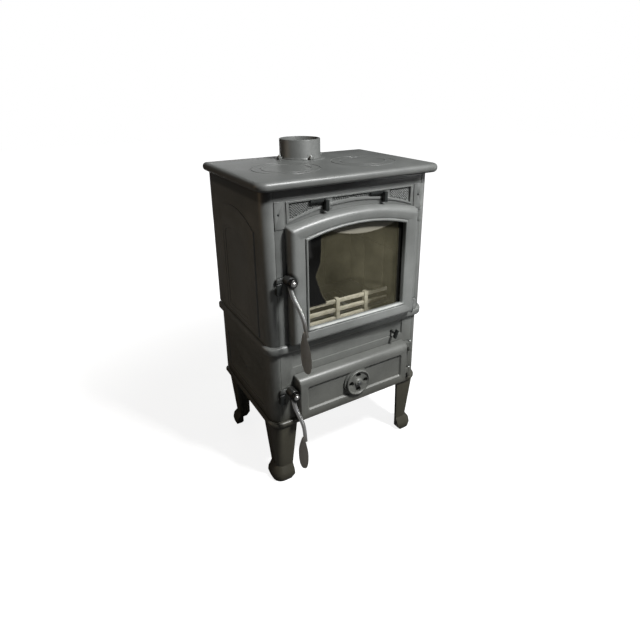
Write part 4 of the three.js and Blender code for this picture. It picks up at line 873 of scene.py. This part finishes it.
riddle = {"rod": (148, 375), "slim": 0.62, "shorten": 9, "front": -196}
rodPiece = copied("riddling_rod", "riddling rod")
hub = at(riddle["rod"][0], riddle["front"], riddle["rod"][1])
for vertex in rodPiece.data.vertices:    # the lever in front of the stove is small and close to it
    if vertex.co.y < hub.y:
        vertex.co.x = hub.x + (vertex.co.x - hub.x) * riddle["slim"]
        vertex.co.z = hub.z + (vertex.co.z - hub.z) * riddle["slim"]
        vertex.co.y += riddle["shorten"] * mm
seated(eased(tidied(rodPiece), 0.8, 3, 50), "riddling", "control_black", "riddling_rod", angle=50)


# inside the firebox and the ash compartment

easedCopy("log_guard", "log guard casting", "stove_body", "ash_grey", 2.2)

brickwork = {"bottom": 422.3, "top": 767.3, "joint": 1.6, "rows": 2, "chamfer": 1.8,
             "walls": [("left", (-142.7, 164.7), (-235.7, -210.7), False, 3),    # length, thickness, along X, columns
                       ("right", (-142.7, 164.7), (210.7, 235.7), False, 3),
                       ("back", (-210.4, 210.4), (139.7, 164.7), True, 4)]}


def brickWall(name, length, thickness, alongX, columns):    # slabs set with narrow open joints
    size, gap = brickwork, brickwork["joint"] / 2
    verts, faces = [], []
    width = (length[1] - length[0]) / columns
    height = (size["top"] - size["bottom"]) / size["rows"]
    for column in range(columns):
        for row in range(size["rows"]):
            a0 = length[0] + column * width + (gap if column else 0)
            a1 = length[0] + (column + 1) * width - (gap if column < columns - 1 else 0)
            z0 = size["bottom"] + row * height + (gap if row else 0)
            z1 = size["bottom"] + (row + 1) * height - (gap if row < size["rows"] - 1 else 0)
            base = len(verts)
            for z in (z0, z1):
                for a, d in ((a0, thickness[0]), (a1, thickness[0]), (a1, thickness[1]), (a0, thickness[1])):
                    verts.append(at(a, d, z) if alongX else at(d, a, z))
            faces += [tuple(base + k for k in face) for face in
                      ((0, 3, 2, 1), (4, 5, 6, 7), (0, 1, 5, 4), (1, 2, 6, 5), (2, 3, 7, 6), (3, 0, 4, 7))]
    return eased(linked(name, outwards(meshFrom(name, verts, faces))), size["chamfer"])


for side, *wall in brickwork["walls"]:
    seated(brickWall(side + " firebricks", *wall), "stove_body", "fire_brick", "brick_" + side)
easedCopy("ash_pan", "ash pan", "stove_body", "plain_steel", 0.5)

rope = {"width": 9, "front": -7.7, "back": -0.3, "fireInset": 14, "ashInset": 5}


def ropeSection(size, steps=32):    # (share across the channel, depth) round a soft square section
    points = []
    for across, over in circlePath(0, 0, 1, steps):
        u, v = (math.copysign(abs(part) ** 0.6, part) for part in (across, over))
        points.append((size["width"] / 2 * (1 + u),
                       (size["front"] + size["back"]) / 2 + (size["front"] - size["back"]) / 2 * v))
    return points


for door, ringOf, inset in (("fire", doorRing, rope["fireInset"]), ("ash", ashRing, rope["ashInset"])):
    rings = [ringOf(inset + across, depth) for across, depth in ropeSection(rope)]
    seated(loft(door + " door rope", rings, wrap=True), door + "_door", "rope_seal", door + "_door_seal", angle=60)
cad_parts["glass_gasket"].data.materials.clear()
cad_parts["glass_gasket"].data.materials.append(finishes["rope_seal"])
easedCopy("door_glass", "door glass", "fire_door", "stove_glass", 0.6)
for hand in ("left", "right"):
    easedCopy("glass_clip_" + hand, hand + " glass clip", "fire_door", "plain_steel", 0.5)
print("stove: firebox, ropes and glass made")


# bolts, screws and hinge pins, from one Geometry Nodes tree

def fastenerTree():    # a turned head with a rounded rim on a plain shank, at each given point
    sizes = ("Head Radius", "Head Height", "Shank Radius", "Shank Length")
    tree, given = newTree("fasteners", [*((title, "Float") for title in sizes), ("Sides", "Int"), ("Turn", "Vector")])
    low = addNode(tree, "ShaderNodeMath", {0: given["Head Height"], 1: 0.72}, operation="MULTIPLY")
    domeHeight = addNode(tree, "ShaderNodeMath", {0: given["Head Height"], 1: low}, operation="SUBTRACT")
    crown = addNode(tree, "ShaderNodeMath", {0: given["Head Radius"], 1: 0.74}, operation="MULTIPLY")
    down = addNode(tree, "ShaderNodeMath", {0: given["Shank Length"], 1: -1.0}, operation="MULTIPLY")
    whole = addNode(tree, "GeometryNodeJoinGeometry")
    for sides, top, bottom, depth, lift in (
            (given["Sides"], given["Head Radius"], given["Head Radius"], low, 0.0),
            (given["Sides"], crown, given["Head Radius"], domeHeight, low),
            (20, given["Shank Radius"], given["Shank Radius"], given["Shank Length"], down)):    # rim, dome and shank
        part = addNode(tree, "GeometryNodeMeshCone", {"Vertices": sides, "Radius Top": top, "Radius Bottom": bottom,
                                                      "Depth": depth})
        place = addNode(tree, "ShaderNodeCombineXYZ", {"Z": lift})
        placed = addNode(tree, "GeometryNodeTransform", {"Geometry": part, "Translation": place})
        tree.links.new(placed.outputs[0], whole.inputs[0])
    return spreadOut(tree, given, whole, given["Turn"])


fastener = fastenerTree()
upright, outward, inward = (0.0, 0.0, 0.0), (math.pi / 2, 0.0, 0.0), (-math.pi / 2, 0.0, 0.0)
corners = [math.pi / 2 * turn for turn in range(4)]
lugTop = flueCollar["base"] + flueCollar["lugHeight"] + 0.3
pinTops = {name: [(hinge["x"], size["face"] + hinge["pin"], low + hinge["height"] + 0.3) for low in size["hinges"]]
           for name, size in (("fire", fireDoor), ("ash", ashDoor))}
fasteners = [    # name, body, points, head radius and height, shank radius and length, sides, turn, nodes
    ("collar bolts", "stove_body", [(flueCollar["lugCircle"] * math.sin(turn),
                                     flueCollar["y"] - flueCollar["lugCircle"] * math.cos(turn), lugTop)
                                    for turn in corners],
     4.6, 5, 2.5, 14, 6, upright, ["collar_bolt_front", "collar_bolt_right", "collar_bolt_back", "collar_bolt_left"]),
    ("fire door hinge pins", "stove_body", pinTops["fire"], 5.4, 3.7, 3.6, 30, 28, upright,
     ["fire_hinge_pin_bottom", "fire_hinge_pin_top"]),
    ("ash door hinge pins", "stove_body", pinTops["ash"], 5.4, 3.7, 3.6, 30, 28, upright,
     ["ash_hinge_pin_bottom", "ash_hinge_pin_top"]),
    ("glass clip screws", "fire_door", [(x, -190.4, z) for x in (-165, 165) for z in (540, 675)], 3.8, 2.4, 2, 9, 16,
     inward, ["clip_screw_left_bottom", "clip_screw_left_top", "clip_screw_right_bottom", "clip_screw_right_top"]),
    ("rosette bolt", "ash_door", [(0, -221.6, 274.5)], 6, 4, 3, 32, 24, outward, ["spinner_bolt"]),
    ("pilaster screws", "stove_body", [(x, -182.4, 783) for x in (-212.7, 212.7)], 2.8, 1.8, 1.5, 2, 20, outward, []),
]
darkHeads = {"pilaster screws"}    # black heads
for title, body, places, headRadius, headHeight, shankRadius, shankLength, sides, turn, nodes in fasteners:
    slotName = "control_black" if title in darkHeads else "plain_steel"
    piece = grown(title, [at(*p) for p in places], fastener, slotName,
                  {"Head Radius": headRadius * mm, "Head Height": headHeight * mm, "Shank Radius": shankRadius * mm,
                   "Shank Length": shankLength * mm, "Sides": sides, "Turn": turn})
    seated(piece, body, slotName, *nodes, angle=30)
print("stove: fasteners made")


# floor, light and camera

studio = {"floor": "#ffffff", "floorGlow": 0.86, "glowFrom": 0.6, "glowTo": 1.5, "bounce": 0.1,
          "sky": "#e8ecf0", "skyStrength": 0.08}
floorMaterial, tree, place = newMaterial("pale studio floor")
seen = addNode(tree, "ShaderNodeLightPath").outputs["Is Camera Ray"]
reach = addNode(tree, "ShaderNodeVectorMath", {0: place}, operation="LENGTH")
glow = addNode(tree, "ShaderNodeMapRange",
               {"Value": reach.outputs["Value"], "From Min": studio["glowFrom"], "From Max": studio["glowTo"],
                "To Min": studio["floorGlow"], "To Max": 1.05}, interpolation_type="SMOOTHSTEP")
glow = addNode(tree, "ShaderNodeMath", {0: glow, 1: seen}, operation="MULTIPLY")    # white, but a faint light
grey = addNode(tree, "ShaderNodeMath", {0: seen, 1: 0.2, 2: studio["bounce"]}, operation="MULTIPLY_ADD")
surfaced(floorMaterial, {"Emission Strength": glow, "Emission Color": linear(studio["floor"]), "Base Color": grey,
                         "Roughness": 0.9, "Specular IOR Level": 0.0})
floor = linked("studio-floor", meshFrom("studio floor", [(-9, -9, 0), (9, -9, 0), (9, 9, 0), (-9, 9, 0)],
                                        [(0, 1, 2, 3)]))
floor.data.materials.append(floorMaterial)

world = bpy.data.worlds.new("studio")
bpy.context.scene.world = world
world.use_nodes = True
tree = world.node_tree
tree.nodes.clear()
seen = addNode(tree, "ShaderNodeLightPath").outputs["Is Camera Ray"]
dim = addNode(tree, "ShaderNodeBackground", {"Color": linear(studio["sky"]), "Strength": studio["skyStrength"]})
white = addNode(tree, "ShaderNodeBackground", {"Color": (1, 1, 1, 1), "Strength": 1.0})
both = addNode(tree, "ShaderNodeMixShader", {0: seen, 1: dim, 2: white})
addNode(tree, "ShaderNodeOutputWorld", {"Surface": both})

softboxes = [    # name, place and aim in metres, width, watts, colour
    ("key lamp", (0.6, -1.5, 2.42), (0.0, -0.15, 0.6), 0.35, 104, "#ffffff"),
    ("right strip", (2.4, -1.3, 0.9), (0.0, -0.15, 0.5), 0.2, 7, "#ffffff"),
    ("front fill", (0.2, -3.4, 0.9), (0.0, 0.0, 0.5), 1.6, 3.5, "#ffffff"),
    ("left fill", (-2.4, 0.7, 1.1), (0.0, 0.1, 0.4), 1.0, 5, "#ffdcb0"),
    ("back lamp", (0.5, 2.8, 0.6), (0.0, 0.0, 0.4), 1.4, 14, "#ffffff"),
]
snoot = {"place": (-1.1, -1.95, 0.95), "aim": (0.12, -0.14, 0.53), "cone": 7, "edge": 0.5, "width": 0.04,
         "watts": 80}    # narrow lamp on the door, cone in degrees


def hung(name, data, place, aim):    # hangs a lamp and turns it towards its aim
    lamp = bpy.data.objects.new(name, data)
    lamp.location = place
    lamp.rotation_euler = (Vector(aim) - Vector(place)).to_track_quat("-Z", "Y").to_euler()
    stoveCollection.objects.link(lamp)


for name, place, aim, width, watts, color in softboxes:
    data = bpy.data.lights.new(name, "AREA")
    data.color = linear(color)[:3]
    data.size = width
    data.energy = watts
    hung(name, data, place, aim)
narrow = bpy.data.lights.new("door snoot", "SPOT")
narrow.energy = snoot["watts"]
narrow.spot_size = math.radians(snoot["cone"])
narrow.spot_blend = snoot["edge"]
narrow.shadow_soft_size = snoot["width"]
hung("door snoot", narrow, snoot["place"], snoot["aim"])

view = {"place": (-685.3, -1182.5, 1068.8), "yaw": 31.314, "pitch": 19.802, "roll": -0.29, "lens": 27.463,
        "shiftX": -0.0129, "shiftY": -0.0942}
cameraData = bpy.data.cameras.new("photo camera")
cameraData.sensor_width = 36
cameraData.lens = view["lens"]
cameraData.shift_x = view["shiftX"]
cameraData.shift_y = view["shiftY"]
camera = bpy.data.objects.new("photo camera", cameraData)
yaw, pitch, roll = (math.radians(view[key]) for key in ("yaw", "pitch", "roll"))
ahead = Vector((math.sin(yaw) * math.cos(pitch), math.cos(yaw) * math.cos(pitch), -math.sin(pitch)))
right = Vector((math.cos(yaw), -math.sin(yaw), 0))
above = right.cross(ahead)
rolledRight = right * math.cos(roll) + above * math.sin(roll)
rolledUp = above * math.cos(roll) - right * math.sin(roll)
turned = Matrix((rolledRight, rolledUp, -ahead)).transposed().to_4x4()
camera.matrix_world = Matrix.Translation(at(*view["place"])) @ turned
stoveCollection.objects.link(camera)
bpy.context.scene.camera = camera
bpy.context.scene.view_settings.view_transform = "Standard"

bpy.context.view_layer.update()
print("stove: scene ready")
